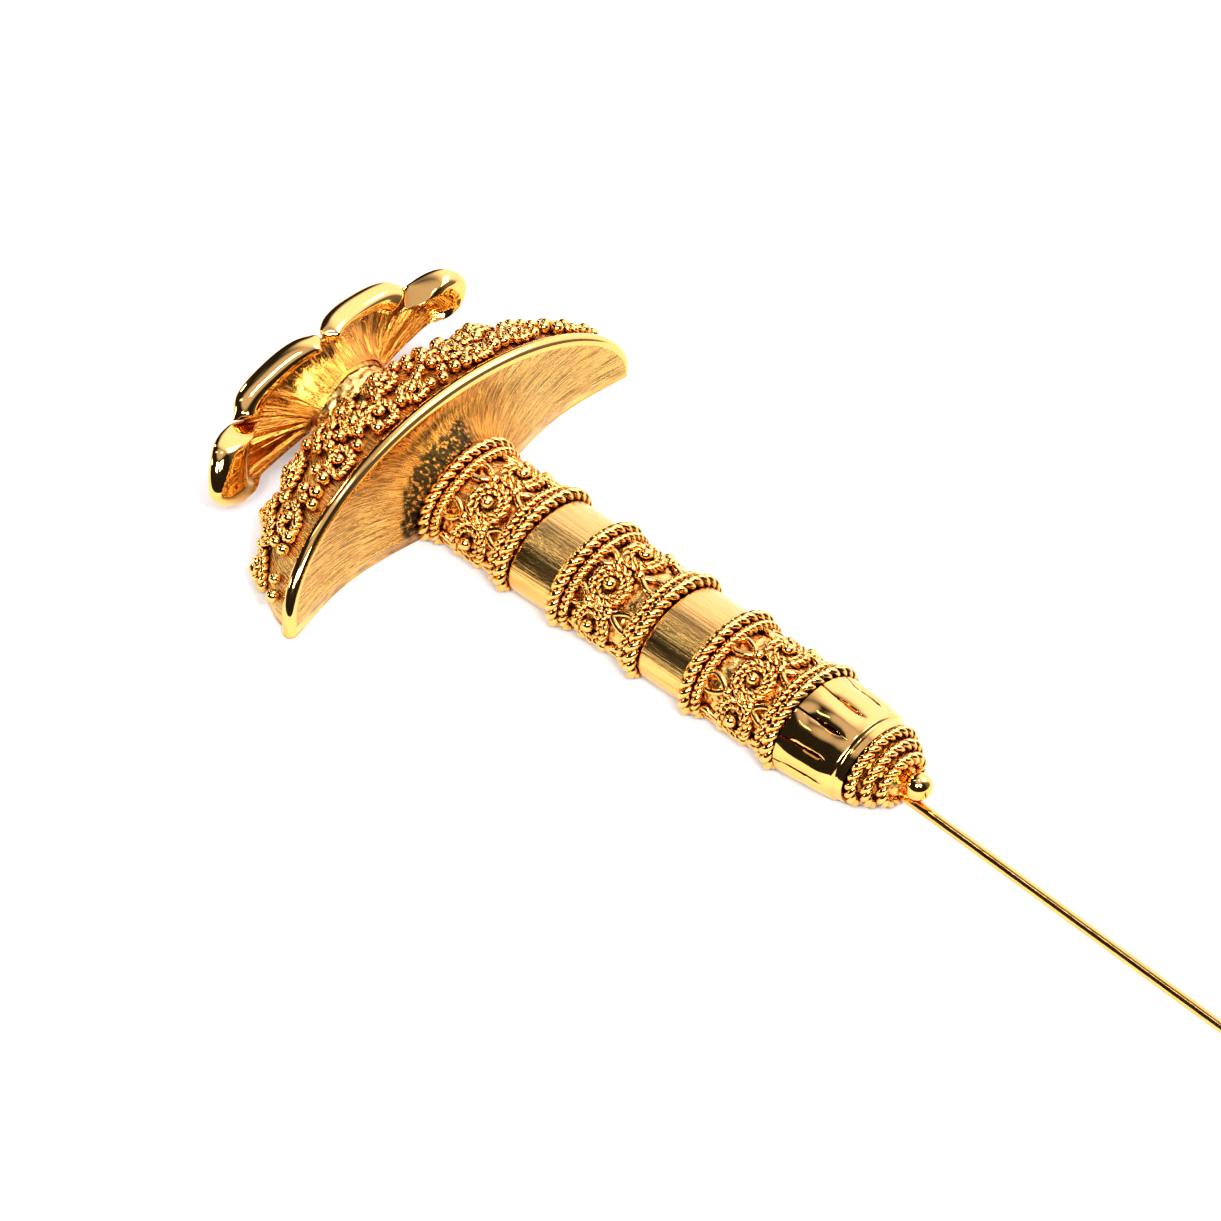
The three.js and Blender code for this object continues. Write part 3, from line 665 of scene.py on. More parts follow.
class HATPIN_OT_bands(bpy.types.Operator):
    """Make the ground, rope rings, coiled rosettes and wirework of the filigree bands"""

    bl_idname = "hat_pin.bands"
    bl_label = "Filigree bands"

    def execute(self, context):
        for number in BANDS:
            self.ground(number)
            self.rings(context, number)
            for count in ROSETTES:
                self.rosette(context, number, count)
            self.wirework(number)
        return {"FINISHED"}

    def ground(self, number):
        low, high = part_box(f"band_{number}_drum")
        stations = rounded_ends(low.x, high.x, DRUM_HALF, GROUND_EDGE, 70)

        def cast(grid):
            return grid + outward(grid) * (speckle(grid, GROUND_LUMP, number) * GROUND_RISE)[..., None]

        mesh = skin(f"ground_{number}", stations, 150, cast)
        add_piece(mesh, "ground", "filigree_gold", f"band_{number}_drum")

    def rings(self, context, number):
        rope = context.scene.hat_pin_rope
        wire = rope.strand
        for side, inward in (("guard", 1), ("pin", -1)):
            node = f"band_{number}_rope_near_{side}"
            x, _, half = ring_place(node)
            for name, place, reach, share, nodes in (
                (f"rope_ring_{number}_{side}", x, half, 1.0, [node]),
                (f"inner_rope_{number}_{side}", x + inward * wire * 3.0, half - wire * 0.5, INNER_ROPE, []),
            ):
                start = foot_turn(reach, wire * 1.3)
                ring = Filigree(name)
                ring.run([section(place, reach, t) for t in np.linspace(start, HALF_TURN - start, 120)])
                ring.add(*nodes, wire=wire * share, pitch=rope.pitch * share, spacing=0.11 * MM, sides=10,
                         strands=rope.strands, lay=TIGHT_LAY)

    def rosette(self, context, number, count):
        rope = context.scene.hat_pin_rope
        node = f"band_{number}_rosette_{count}"
        x = ring_place(node)[0]
        turn = ROSETTE_FIRST + (count - 1) * ROSETTE_PITCH

        def ring(name, reach, lift):
            steps = [(reach * math.cos(t), reach * math.sin(t)) for t in once_round(64)]
            coil = Filigree(name)
            coil.run([on_band(x + along, turn, across, lift) for along, across in steps], closed=True)
            return coil

        wire = ROSETTE_WIRE
        outer = ring(f"rosette_{number}_{count}", rope.rosette - wire * 1.8, wire * 1.4)
        outer.bead(on_band(x, turn, 0.0, 0.5 * MM), rope.bead)
        mesh = outer.grow(wire, 1.3 * MM, 0.09 * MM, 8, bead_segments=28)
        wire = ROSETTE_CORE_WIRE
        inner = ring(f"rosette_inner_{number}_{count}", rope.bead + wire * 2.9, wire * 2.4)
        join(mesh, inner.grow(wire, 0.9 * MM, 0.08 * MM, 8))
        add_piece(mesh, "filigree", "filigree_gold", node)

    def wirework(self, number):
        low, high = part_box(f"band_{number}_drum")
        x = ring_place(f"band_{number}_rosette_1")[0]
        work = Filigree(f"wirework_{number}")
        for gap in range(-1, len(ROSETTES)):
            turn = ROSETTE_FIRST + (gap + 0.5) * ROSETTE_PITCH
            for end in (low.x + LEAF_END, high.x - LEAF_END):
                reach = end - x
                leaf = []
                for swing in once_round(36):
                    part = 0.5 - 0.5 * math.cos(swing)
                    across = LEAF_HALF * math.sin(swing) * (0.35 + 0.65 * part)
                    leaf.append(on_band(x + reach * (0.42 + 0.55 * part), turn, across, LEAF_WIRE * 0.7))
                work.run(leaf, closed=True)
                work.bead(on_band(x + reach * 0.33, turn, 0.0, LEAF_WIRE * 1.1), LEAF_WIRE * 1.5)
        work.add(
            wire=LEAF_WIRE, pitch=MM, spacing=0.12 * MM, sides=10, strands=1, lay=0.0, bead_segments=18)


def on_band(x, turn, across, lift):
    """A point above a band's ground: so far along, round, across from there, and up."""
    here = section(x, DRUM_HALF, turn)
    step = 0.01
    pace = (section(x, DRUM_HALF, turn + step) - here).length / step
    if pace < 1e-9:
        pace = DRUM_HALF
    there = turn - across / pace
    point = Vector((x, DRUM_HALF * math.cos(there), AXIS_Z + DRUM_HALF * SQUASH * math.sin(there)))
    point += section_out(there) * lift
    point.z = max(point.z, 0.25 * MM)
    return point


# Tip

LOBE_PITCH = math.radians(33)
GROOVE_END = 0.67              # parts of the taper's length
STEP_AT = 0.88
GROOVE_DEPTH = 0.34 * MM
LOBE_DEPTH = 0.22 * MM
STEP_DEPTH = 0.12 * MM
RING_DEPTH = 0.16 * MM
DENT_DEPTH = 0.06 * MM


class HATPIN_OT_tip(bpy.types.Operator):
    """Make the grooved taper, the stepped peg, the rope coils and the end ball"""

    bl_idname = "hat_pin.tip"
    bl_label = "Tip"

    def execute(self, context):
        self.taper()
        self.peg()
        self.coils(context)
        self.ball()
        return {"FINISHED"}

    def taper(self):
        low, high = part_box("tip_taper")
        length = high.x - low.x
        start_half = high.y
        end_half = 3.8 * MM
        stations = [(low.x, BORE_HALF)]
        for part in np.linspace(0, 1, 150):
            stations.append((low.x + length * part, start_half + (end_half - start_half) * part ** 2.2))
        stations.append((high.x, BORE_HALF))

        def carve(grid):
            part = (grid[..., 0] - low.x) / length
            turn = np.arctan2((grid[..., 2] - AXIS_Z) / SQUASH, grid[..., 1])
            off = np.abs((turn / LOBE_PITCH - HALF_TURN / LOBE_PITCH + 0.5) % 1.0 - 0.5)
            along = np.clip(part / GROOVE_END, 0, 1)
            width = (0.028 + 0.05 * ease((along - 0.3) * 2)) * np.clip((1 - along) * 6, 0, 1)
            depth = np.clip(1 - off / np.maximum(width, 1e-6), 0, 1) ** 0.7 * GROOVE_DEPTH
            depth += (1 - 2 * off) ** 2 * ease(part * 4) * ease((0.86 - part) / 0.3) * LOBE_DEPTH
            depth += ease((part - STEP_AT) / 0.03) * STEP_DEPTH
            depth += np.exp(-((part - STEP_AT) / 0.02) ** 2) * RING_DEPTH
            depth += speckle(grid, 1.6 * MM, 2.0) * DENT_DEPTH
            depth[0] = 0
            depth[-1] = 0
            return grid - outward(grid) * depth[..., None]

        mesh = skin("grooved_taper", stations, 300, carve)
        add_piece(mesh, "polished", "polished_gold", "tip_taper")

    def peg(self):
        low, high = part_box("tip_peg")
        taper_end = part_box("tip_taper")[1].x
        profile = [(low.x, 0.0), (low.x, CORE_HALF - HAIR), (taper_end, CORE_HALF - HAIR)]
        for number in COILS:
            coil = f"tip_coil_{number}"
            profile.append((ring_place(coil)[0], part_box(coil)[1].y - 0.85 * MM))
        profile += [(high.x + 0.5 * MM, 1.0 * MM), (high.x + 0.5 * MM, 0.0)]
        mesh = turned("stepped_peg", profile, 64, lambda x, y, z: (x, y, max(z + AXIS_Z, 0.0)), SQUASH)
        add_piece(mesh, "ground", "filigree_gold", "tip_peg")

    def coils(self, context):
        rope = context.scene.hat_pin_rope
        wire = rope.strand * 0.86
        for number in COILS:
            node = f"tip_coil_{number}"
            x, thin, half = ring_place(node)
            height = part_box(node)[1].z - thin - half * SQUASH
            path = []
            for turn in once_round(90):
                z = max(height + half * SQUASH * math.sin(turn), wire * 1.8)
                path.append(Vector((x, half * math.cos(turn), z)))
            coil = Filigree(f"rope_coil_{number}")
            coil.run(path, closed=True)
            coil.add(node, wire=wire, pitch=rope.pitch * 0.85, spacing=0.1 * MM, sides=10, lay=TIGHT_LAY)

    def ball(self):
        low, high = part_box("tip_ball")
        radius = (high.y - low.y) / 2
        middle = high.x - radius
        z = high.z - radius
        profile = [(middle - radius * 1.5, 0.0), (middle - radius * 1.5, radius * 0.62)]
        profile.append((middle - radius * 0.95, radius * 0.55))
        profile += arc(middle, radius, 0.0, radius, math.radians(35), 30)
        mesh = turned("end_ball", profile, 56, lambda x, y, up: (x, y, up + z))
        add_piece(mesh, "polished", "polished_gold", "tip_ball")


# Guard

SCROLL_WIRE = 0.22 * MM
SCROLL_ROOM = 1.7 * MM         # kept clear round the middle of a scroll
FILLER_WIRE = 0.23 * MM
FILLER_TRIES = 7000
FILLER_RINGS = (0.0, 0.8, 1.0)  # radii in millimetres, and 0 is a ball alone


def rim_point(turn):
    if turn < 0:
        return np.array([0, HORN_Y, 0])
    if turn > HALF_TURN:
        return np.array([0, -HORN_Y, 0])
    rise = math.sin(turn)
    return np.array([CROWN_X * rise ** 1.4, HORN_Y * math.cos(turn), HORN_Z + (CROWN_Z - HORN_Z) * rise])


def rim_out(turn):
    turn = min(max(turn, 0), HALF_TURN)
    out = np.array([0, math.cos(turn) * (CROWN_Z - HORN_Z), math.sin(turn) * HORN_Y])
    return out / np.linalg.norm(out)


def plate_edge(turn):
    return rim_point(turn) - rim_out(turn) * (RIM_PROUD + SOLDER_GAP)


def grip_point(turn, half):
    """Where a section of the grip meets a turn of the guard, as y and z."""
    rise = half * SQUASH
    side = 1 if turn < QUARTER_TURN else -1
    swing = math.asin(max(-1.0, -AXIS_Z / rise))
    if 0 <= turn <= HALF_TURN:
        part = turn / QUARTER_TURN if side > 0 else (HALF_TURN - turn) / QUARTER_TURN
        level = math.asin((HORN_Z - AXIS_Z) / rise)
        swing = level + (QUARTER_TURN - level) * part
    return np.array([side * half * math.cos(swing), AXIS_Z + rise * math.sin(swing)])


def dome_point(turn, out):
    edge = plate_edge(turn)
    inner = grip_point(turn, GUARD_SOCKET_HALF)
    edge_x = edge[0] - RIM_WIDTH / 2
    x = edge_x + (GUARD_DOME_X - edge_x) * (1 - out * out) ** DOME_POWER
    return np.array([x, inner[0] + (edge[1] - inner[0]) * out, inner[1] + (edge[2] - inner[1]) * out])


def flank_point(turn, out):
    edge = plate_edge(turn)
    socket = grip_point(turn, GUARD_SOCKET_HALF)
    collar = grip_point(turn, GUARD_COLLAR_HALF)
    edge_x = edge[0] + RIM_WIDTH / 2
    y = socket[0] + (edge[1] - socket[0]) * out
    z = socket[1] + (edge[2] - socket[1]) * out
    reach = math.hypot(edge[1] - socket[0], edge[2] - socket[1])
    flat = min(0.9, math.hypot(*(collar - socket)) / reach)
    if out <= flat:
        return np.array([GUARD_FRONT_X, y, z])
    part = (out - flat) / (1 - flat)
    calm = 1 - 0.5 * math.sin(min(max(turn, 0), HALF_TURN))
    hollow = FLANK_SAG * math.sin(HALF_TURN * part) * calm
    return np.array([GUARD_FRONT_X + (edge_x - GUARD_FRONT_X) * part ** 0.6 - hollow, y, z])


def on_dome(turn, out, around, across, lift):
    """A point on the dome, moved round it, across it and off it by lengths."""
    step = 0.01
    here = dome_point(turn, out)
    by_turn = (dome_point(turn + step, out) - here) / step
    by_out = (here - dome_point(turn, out - step)) / step
    turn += around / np.linalg.norm(by_turn)
    out = min(max(out + across / np.linalg.norm(by_out), 0.02), 0.995)
    turn = min(max(turn, 0.01), HALF_TURN - 0.01)
    normal = np.cross(by_turn, by_out)
    normal /= np.linalg.norm(normal)
    if normal[0] > 0:
        normal = -normal
    point = dome_point(turn, out) + normal * lift
    point[2] = max(point[2], 0.3 * MM)
    return point


def dome_ring(turn, out, reach, lift, count):
    return [on_dome(turn, out, reach * math.cos(t), reach * math.sin(t), lift) for t in once_round(count)]


class HATPIN_OT_guard(bpy.types.Operator):
    """Make the crescent guard, its rim, and the scrolls on its dome"""

    bl_idname = "hat_pin.guard"
    bl_label = "Guard"

    def execute(self, context):
        turns = [-1.0, *np.linspace(0, HALF_TURN, 260), HALF_TURN + 1]
        outs = np.linspace(0, 1, 70)
        flank = np.array([[flank_point(t, o) for o in outs] for t in turns])
        dome = np.array([[dome_point(t, o) for o in outs] for t in turns])
        strokes = np.stack(np.meshgrid(np.array(turns) * 30, outs * 1.6, [0.0], indexing="ij"), -1)[:, :, 0]
        fade = ease(outs * 12) * ease((1 - outs) * 14)
        flank[..., 0] += speckle(strokes, 1.0) * 0.05 * MM * fade
        flank[..., 0] += speckle(strokes * [3.1, 1.7, 1], 1.0, 5.0) * 0.03 * MM * fade
        dome[..., 0] += speckle(dome, 0.9 * MM, 3.0) * 0.14 * MM * fade
        mesh = shell("crescent_plate", flank, dome, crease=50)
        add_piece(mesh, "satin_flank", "satin_gold", "guard_plate")
        self.rim(turns)
        for number, (degrees, out) in enumerate(SCROLLS, 1):
            self.scroll(number, math.radians(degrees), out)
        self.filler()
        return {"FINISHED"}

    def rim(self, turns):
        swings = np.linspace(0, HALF_TURN, 15)
        across = [np.array([RIM_WIDTH / 2 * math.cos(s), 0, 0]) for s in swings]
        drops = [RIM_PROUD * (1 - math.sin(s)) for s in swings]
        outer = np.array([[rim_point(t) - rim_out(t) * d + x for d, x in zip(drops, across)] for t in turns])
        inner = np.array([[plate_edge(t) + x for x in across] for t in turns])
        add_piece(shell("crescent_rim", outer, inner), "polished", "polished_gold", "guard_rim")

    def scroll(self, number, turn, out):
        wire = SCROLL_WIRE
        coil = Filigree(f"scroll_{number}")
        for reach, lift in ((1.1 * MM, wire * 1.6), (0.62 * MM, wire * 2.8)):
            coil.run(dome_ring(turn, out, reach, lift, 60), closed=True)
        coil.bead(on_dome(turn, out, 0.0, 0.0, 0.75 * MM), 0.5 * MM)
        node = f"guard_scroll_{number}"
        coil.add(node, wire=wire, pitch=1.2 * MM, spacing=0.09 * MM, sides=8, bead_segments=26)

    def filler(self):
        """Scatters small rope rings and balls over the dome, each clear of the others and of the scrolls."""
        draw = np.random.default_rng(11)
        spots = [dome_point(math.radians(degrees), out) for degrees, out in SCROLLS]
        rooms = [SCROLL_ROOM] * len(SCROLLS)
        wire = FILLER_WIRE
        rings = Filigree("dome_rings")
        balls = Filigree("dome_balls")
        for _ in range(FILLER_TRIES):
            turn = math.acos(draw.uniform(-0.995, 0.995))
            out = 0.99 - 0.84 * draw.uniform(0.0, 1.0) ** 1.35
            reach = draw.choice(FILLER_RINGS) * MM
            room = max(reach * 1.05, 0.45 * MM)
            here = dome_point(turn, out)
            if np.any(np.linalg.norm(np.array(spots) - here, axis=1) < room + np.array(rooms)):
                continue
            spots.append(here)
            rooms.append(room)
            if reach:
                rings.run(dome_ring(turn, out, reach, wire * 1.5, 24), closed=True)
            balls.bead(on_dome(turn, out, 0.0, 0.0, wire * 1.8), draw.uniform(0.42, 0.54) * MM)
        rings.add(wire=wire, pitch=1.1 * MM, spacing=0.14 * MM, sides=6)
        balls.add(wire=wire, pitch=1 * MM, spacing=0.12 * MM, sides=8, strands=1, lay=0.0, bead_segments=12)


# Finial

def smooth_line(corners, count):
    """Points along a centripetal curve through the corners."""
    corners = [np.array(c) * MM for c in corners]
    corners = [2 * corners[0] - corners[1]] + corners + [2 * corners[-1] - corners[-2]]
    knots = [0.0]
    for here, there in zip(corners, corners[1:]):
        knots.append(knots[-1] + math.sqrt(np.linalg.norm(there - here)))
    points = []
    pieces = len(corners) - 3
    for part in np.linspace(0, pieces, count):
        i = min(int(part), pieces - 1)
        ends = corners[i:i + 4]
        marks = knots[i:i + 4]
        t = marks[1] + (marks[2] - marks[1]) * (part - i)
        for spans in (((0, 1), (1, 2), (2, 3)), ((0, 2), (1, 3)), ((1, 2),)):
            mixed = []
            for (low, high), here, there in zip(spans, ends, ends[1:]):
                low, high = marks[low], marks[high]
                mixed.append((high - t) / (high - low) * here + (t - low) / (high - low) * there)
            ends = mixed
        points.append(ends[0])
    return points


FOOT = 0.02 * MM               # lowest height of the petals
PETAL_CORNER = 0.05            # part of a lip's line over which its end rounds off
LIP_TAPER = 0.16               # and over which it thins
ROLL_START = 0.86              # part of the way out where the lip is full
ROLL_LENGTH = 0.13
TIP_START = 0.9                # and where its outer edge rounds off
TIP_LENGTH = 0.1


class HATPIN_OT_finial(bpy.types.Operator):
    """Make the petals, the hammered neck and the hub"""

    bl_idname = "hat_pin.finial"
    bl_label = "Finial"

    def execute(self, context):
        for number, (lip, mirror) in enumerate(PETALS, 1):
            self.petal(number, lip, mirror)
        self.web()
        self.neck()
        self.hub()
        return {"FINISHED"}

    def sheet_point(self, end, part):
        """The middle of the flower's sheet, from its root at 0 to an end on the lip at 1."""
        turn = math.atan2(end[2] - NECK_Z, end[1])
        root = np.array([PETAL_ROOT_X, PETAL_ROOT_HALF * math.cos(turn),
                         NECK_Z + PETAL_ROOT_HALF * SQUASH * math.sin(turn)])
        control = root + (end - root) * [0.75, 0.3, 0.3]
        return root * (1 - part) ** 2 + control * 2 * part * (1 - part) + end * part ** 2

    def petal(self, number, lip, mirror):
        line = smooth_line([(x, y * mirror, z) for x, y, z in lip], 90)
        parts = 1 - (1 - np.linspace(0, 1, 60)) ** 1.6
        back = np.empty((len(line), len(parts), 3))
        front = np.empty_like(back)
        for i, end in enumerate(line):
            row = i / (len(line) - 1)
            to_end = min(row, 1 - row)
            corner = to_end / PETAL_CORNER
            closing = math.sqrt(1 - (1 - min(corner, 1)) ** 2)
            fullness = float(ease(to_end / LIP_TAPER))
            for j, part in enumerate(parts):
                roll = min(max((ROLL_START - part) / ROLL_LENGTH, 0), 1)
                thick = PETAL_THICKNESS
                thick += (LIP_THICKNESS - PETAL_THICKNESS) * math.sqrt(1 - roll ** 2) * fullness
                past = max(0, (part - TIP_START) / TIP_LENGTH)
                half = thick / 2 * (math.sqrt(max(0.0, 1 - past ** 2)) * closing)
                middle = self.sheet_point(end, part)
                middle[0] += thick * (LIP_SHARE - 0.5)
                in_field = float(ease((0.74 - part) / 0.08) * ease(part / 0.12) * ease(corner / 2.5))
                ripple = noise.noise(Vector((row * 24, part * 1.5, number * 7)))
                ripple += 0.5 * noise.noise(Vector((row * 60, part * 2.5, number * 7 + 3)))
                dip = in_field * (0.2 + 0.3 * ripple) * MM
                back[i, j] = middle + [half - dip, 0, 0]
                front[i, j] = middle - [half - dip * 0.3, 0, 0]
        for side in (back, front):
            side[..., 2] = np.maximum(side[..., 2], FOOT)
        mesh = shell(f"flower_petal_{number}", back, front, crease=70)
        add_piece(mesh, "petal", "polished_gold", f"petal_{number}")

    def web(self):
        """The casting's skin that closes the slits between the petals."""
        ends = []
        for lip, mirror in PETALS:
            line = smooth_line([(x, y * mirror, z) for x, y, z in lip], 30)
            ends += line if mirror < 0 else line[::-1]
        reach = np.linspace(-0.12, 0.84, 24)
        lift = np.array([0.32 * MM, 0, 0])
        half = np.array([0.16 * MM, 0, 0])
        middle = np.array([[self.sheet_point(end, part) + lift for part in reach] for end in ends])
        middle[..., 2] = np.maximum(middle[..., 2], FOOT)
        mesh = shell("petal_web", middle + half, middle - half, crease=70)
        add_piece(mesh, "petal_root", "polished_gold")

    def neck(self):
        length = NECK_HIGH.x - NECK_LOW.x
        profile = [(NECK_LOW.x, 0.0)]
        for part in np.linspace(0, 1, 40):
            waist = math.sin(HALF_TURN * part)
            profile.append((NECK_LOW.x + length * part, NECK_HALF - 0.25 * MM * (1 - waist)))
        profile.append((NECK_HIGH.x, 0.0))

        def place(x, y, z):
            reach = math.hypot(y, z) or 1.0
            spot = Vector((x, y, z))
            blow = noise.noise(spot / (0.45 * MM)) * 0.12 * MM
            blow -= abs(noise.noise(spot / (0.9 * MM))) * 0.15 * MM
            share = 1 + blow / reach if reach > MM else 1
            return (x, y * share, z * share + NECK_Z)

        mesh = turned("hammered_neck", profile, 150, place, SQUASH)
        add_piece(mesh, "hammered", "hammered_gold", "neck_collar")

    def hub(self):
        length = HUB_HIGH.x - HUB_LOW.x
        profile = [(HUB_HIGH.x, 0.0), (HUB_HIGH.x, NECK_HALF - 0.3 * MM)]
        for part in np.linspace(0, 1, 40):
            dome = math.sqrt(max(0.0, 1 - part ** 2))
            ring = 0.09 * MM * math.sin(part * 9 * HALF_TURN) ** 2
            x = HUB_HIGH.x - length * (0.25 + 0.75 * part) + ring
            profile.append((x, (NECK_HALF - 0.45 * MM) * dome))
        mesh = turned("flower_hub", profile, 72, lambda x, y, z: (x, y, z + NECK_Z), SQUASH, crease=60)
        add_piece(mesh, "polished", "polished_gold", "finial_hub")
        x = HUB_HIGH.x - 0.2 * MM
        half = NECK_HALF - 0.35 * MM
        path = [(x, half * math.cos(t), NECK_Z + half * SQUASH * math.sin(t)) for t in once_round(90)]
        ring = Filigree("hub_rope")
        ring.run(path, closed=True)
        ring.add(wire=0.2 * MM, pitch=1.0 * MM, spacing=0.1 * MM, sides=8)


# Pin and cap

def along_pin(x, y, z):
    """Sends a lathe's point to the pin, which leans across the back plane."""
    side = Vector((-PIN_WAY.y, PIN_WAY.x, 0))
    return PIN_START + PIN_WAY * x + side * y + Vector((0, 0, z))


class HATPIN_OT_pin(bpy.types.Operator):
    """Make the pin wire with its ground point"""

    bl_idname = "hat_pin.pin"
    bl_label = "Pin"

    def execute(self, context):
        length = (PIN_HIGH.x - PIN_LOW.x) / PIN_WAY.x
        point = 7 * MM
        profile = [(0.0, 0.0), (0.0, WIRE_R)]
        profile += [(x, WIRE_R) for x in np.linspace(0, length - point, 40)[1:]]
        for part in np.linspace(0, 1, 30)[1:]:
            profile.append((length - point * (1 - part), WIRE_R * (1 - part ** 1.8)))
        mesh = turned("drawn_pin", profile, 32, along_pin)
        add_piece(mesh, "drawn_wire", "pin_wire_gold", "pin_wire")
        return {"FINISHED"}


class HATPIN_OT_cap(bpy.types.Operator):
    """Make the push-on cap, with its knurled grip, on the pin's point"""

    bl_idname = "hat_pin.cap"
    bl_label = "Point cap"

    def execute(self, context):
        bore_depth = 10 * MM
        bore = WIRE_R + 0.05 * MM
        wall = 0.72 * MM
        mouth = (CAP_LOW.x - PIN_START.x) / PIN_WAY.x + 0.04 * MM
        end = (CAP_HIGH.x - PIN_START.x) / PIN_WAY.x
        bead = end - CAP_BEAD_R
        profile = [(mouth + bore_depth, 0.0), (mouth + bore_depth, bore), (mouth, bore), (mouth, wall)]
        profile += arc(mouth + 0.5 * MM, 0.4 * MM, wall, CAP_BEAD_R - wall, 0, 9)
        groove_depth = 0.09 * MM
        for count in range(9):
            profile += arc(mouth + (1.4 + 0.7 * count) * MM, 0.22 * MM, wall, -groove_depth, 0, 7)
        profile += [(x, wall) for x in np.linspace(mouth + 7.6 * MM, bead - 0.65 * MM, 5)]
        profile += arc(bead, CAP_BEAD_R, 0.0, CAP_BEAD_R, math.asin(wall * 0.9 / CAP_BEAD_R), 24)
        mesh = turned("push_on_cap", profile, 48, along_pin, crease=50)
        add_piece(mesh, "turned_cap", "cap_gold", "point_cap", body="point_cap")
        return {"FINISHED"}


# Stage

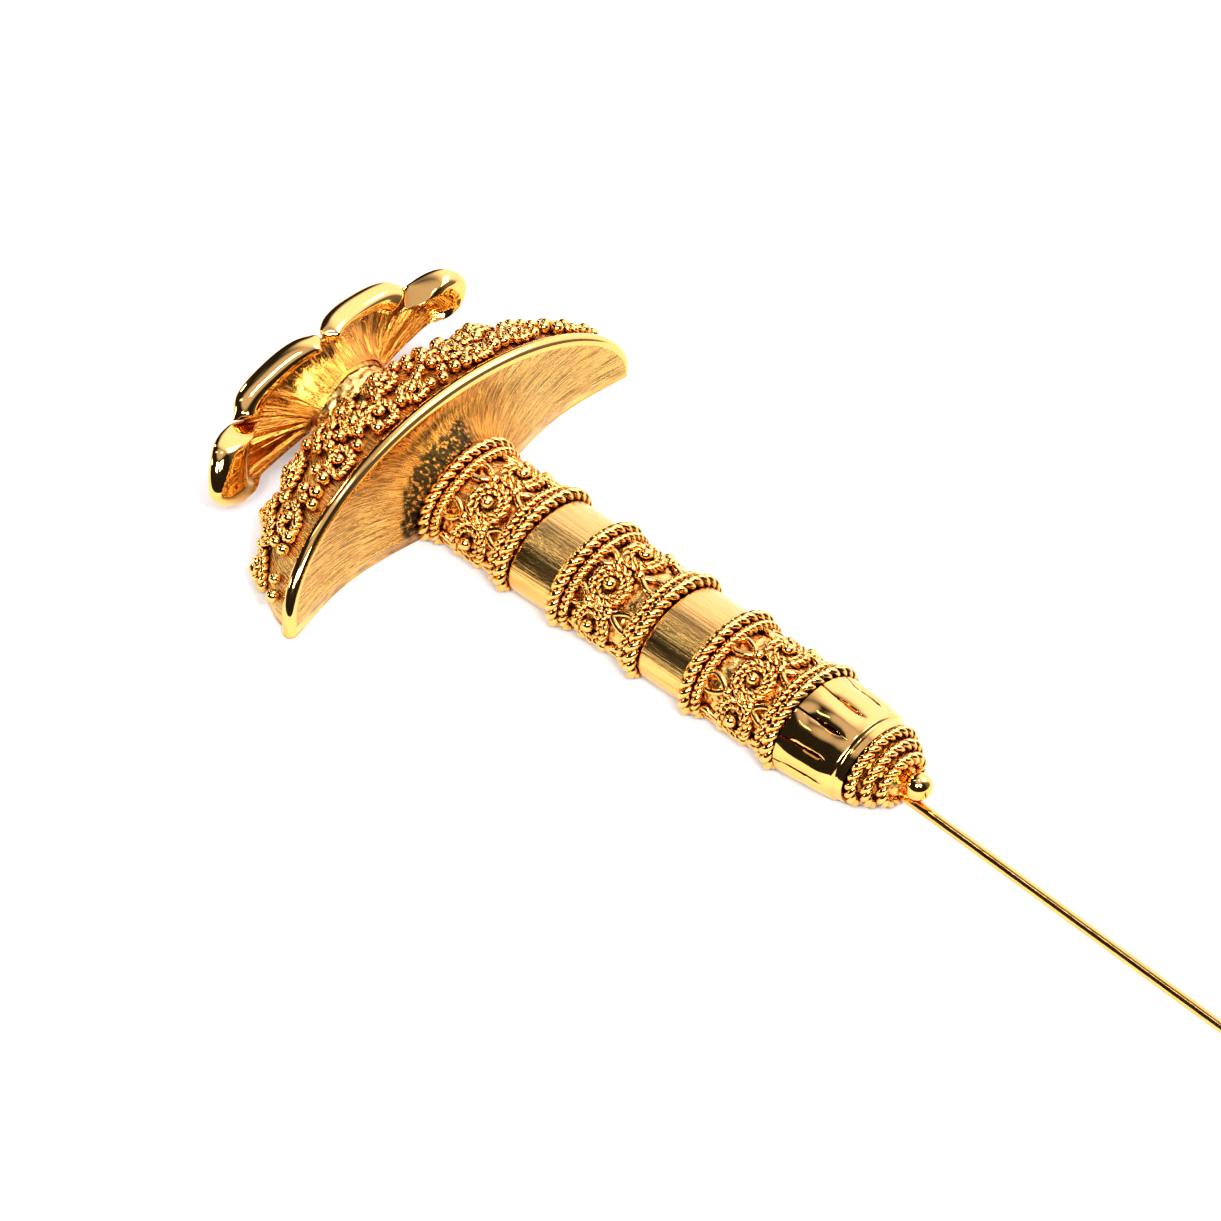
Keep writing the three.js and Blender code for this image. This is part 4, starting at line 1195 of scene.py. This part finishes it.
class HATPIN_OT_stage(bpy.types.Operator):
    """Set the floor, the soft light and the camera"""

    bl_idname = "hat_pin.stage"
    bl_label = "Stage"

    def execute(self, context):
        self.floor()
        self.world(context)
        self.lamps(context)
        self.camera(context)
        context.scene.view_settings.view_transform = "Standard"
        return {"FINISHED"}

    def floor(self):
        reach = 3.0
        mesh = bpy.data.meshes.new("floor")
        corners = [(-reach, -reach), (reach, -reach), (reach, reach), (-reach, reach)]
        mesh.from_pydata([(x, y, -0.01 * MM) for x, y in corners], [], [(0, 1, 2, 3)])
        paper = bpy.data.materials.new("white_paper")
        paper.use_nodes = True
        tree = paper.node_tree
        shader = tree.nodes["Principled BSDF"]
        place = add_node(tree, "ShaderNodeTexCoord").outputs["Object"]
        tone = blend(tree, grain_noise(tree, place, 40.0, 4.0), (0.77, 0.765, 0.755), (0.80, 0.795, 0.79))
        tree.links.new(tone, shader.inputs["Base Color"])
        for name, value in (
            ("Roughness", 0.9), ("Specular IOR Level", 0.1),
            ("Emission Color", (1.0, 0.98, 0.95, 1)), ("Emission Strength", 0.15),
        ):
            shader.inputs[name].default_value = value
        mesh.materials.append(paper)
        show(mesh)

    def world(self, context):
        """A pale wall beyond +Y, bounded in X, and a pale ceiling; all else is dark."""
        world = bpy.data.worlds.new("studio")
        context.scene.world = world
        world.use_nodes = True
        tree = world.node_tree
        look = add_node(tree, "ShaderNodeTexCoord").outputs["Generated"]
        way = split(tree, look)
        wall = ramp(tree, way["Y"], 0.12, 0.6, 0.0, 1.65, smooth=True)
        from_left = ramp(tree, way["X"], -0.66, -0.48, smooth=True)
        to_right = ramp(tree, way["X"], 0.3, 0.62, 1.0, 0.12, smooth=True)
        wall = times(tree, wall, from_left, to_right)
        ceiling = ramp(tree, way["Z"], 0.86, 0.96, 0.02, 0.7, smooth=True)
        sky = tree.nodes["Background"]
        tree.links.new(calculate(tree, "MAXIMUM", wall, ceiling), sky.inputs["Strength"])
        sky.inputs["Color"].default_value = (1.0, 0.95, 1.2, 1)

    def lamps(self, context):
        stage = context.scene.hat_pin_stage
        aim = Vector((15 * MM, 0, 3 * MM))
        for name, way, distance, size, radiance in (
            ("soft_key", (0.2, 0.6, 0.77), 0.9, (0.48, 0.48), stage.key),
            ("top_strip", (-0.459, -0.21, 0.86), 0.8, (0.06, 0.2), stage.key * 0.9),
            ("near_lamp_left", (0.236, -0.614, 0.797), 0.9, (0.24, 0.24), stage.spark),
            ("near_lamp_right", (0.59, -0.29, 0.797), 0.9, (0.24, 0.24), stage.spark),
            ("lamp_left", (-0.85, 0.1, 0.5), 0.9, (0.1, 0.1), stage.spark),
            ("lamp_low", (-0.75, -0.6, 0.3), 0.9, (0.1, 0.1), stage.spark),
            ("lamp_back", (0.0, 0.1, 1.0), 0.9, (0.1, 0.1), stage.spark),
        ):
            data = bpy.data.lights.new(name, "AREA")
            data.shape = "RECTANGLE"
            data.size, data.size_y = size
            data.energy = radiance * math.pi * size[0] * size[1]
            lamp = bpy.data.objects.new(name, data)
            way = Vector(way).normalized()
            facing = way.to_track_quat("Z", "Y").to_matrix().to_4x4()
            lamp.matrix_world = Matrix.Translation(aim + way * distance) @ facing
            context.scene.collection.objects.link(lamp)

    def camera(self, context):
        stage = context.scene.hat_pin_stage
        turn, rise = stage.azimuth, stage.elevation
        back = Vector((math.sin(turn) * math.cos(rise), -math.cos(turn) * math.cos(rise), math.sin(rise)))
        right = Vector((math.cos(turn), math.sin(turn), 0))
        up = back.cross(right)
        data = bpy.data.cameras.new("camera")
        data.lens = stage.lens
        data.clip_end = 100
        distance = stage.view_width * stage.lens / data.sensor_width
        aim = Vector((12.03, 2.92, -4.68)) * MM
        camera = bpy.data.objects.new("camera", data)
        turned_to = Matrix((right, up, back)).transposed().to_4x4()
        camera.matrix_world = Matrix.Translation(aim + back * distance) @ turned_to
        context.scene.collection.objects.link(camera)
        context.scene.camera = camera


OPERATORS = (
    HATPIN_OT_finial, HATPIN_OT_guard, HATPIN_OT_grip, HATPIN_OT_bands, HATPIN_OT_tip, HATPIN_OT_pin,
    HATPIN_OT_cap, HATPIN_OT_stage,
)
SETTINGS = (("hat_pin_gold", HatPinGold), ("hat_pin_rope", HatPinRope), ("hat_pin_stage", HatPinStage))


class HATPIN_PT_pieces(bpy.types.Panel):
    """Lists the pieces of the hat pin and their settings"""

    bl_idname = "HATPIN_PT_pieces"
    bl_label = "Hat Pin"
    bl_space_type = "VIEW_3D"
    bl_region_type = "UI"
    bl_category = "Hat Pin"

    def draw(self, context):
        for operator in OPERATORS:
            self.layout.operator(operator.bl_idname)
        for name, group in SETTINGS:
            box = self.layout.box()
            settings = getattr(context.scene, name)
            for label in group.__annotations__:
                box.prop(settings, label)


def register():
    for name, group in SETTINGS:
        bpy.utils.register_class(group)
        setattr(bpy.types.Scene, name, PointerProperty(type=group))
    for operator in OPERATORS:
        bpy.utils.register_class(operator)
    bpy.utils.register_class(HATPIN_PT_pieces)


def unregister():
    bpy.utils.unregister_class(HATPIN_PT_pieces)
    for operator in reversed(OPERATORS):
        bpy.utils.unregister_class(operator)
    for name, group in reversed(SETTINGS):
        delattr(bpy.types.Scene, name)
        bpy.utils.unregister_class(group)


def main():
    register()
    for operator in OPERATORS:
        group, name = operator.bl_idname.split(".")
        getattr(getattr(bpy.ops, group), name)()


if __name__ == "__main__":
    main()
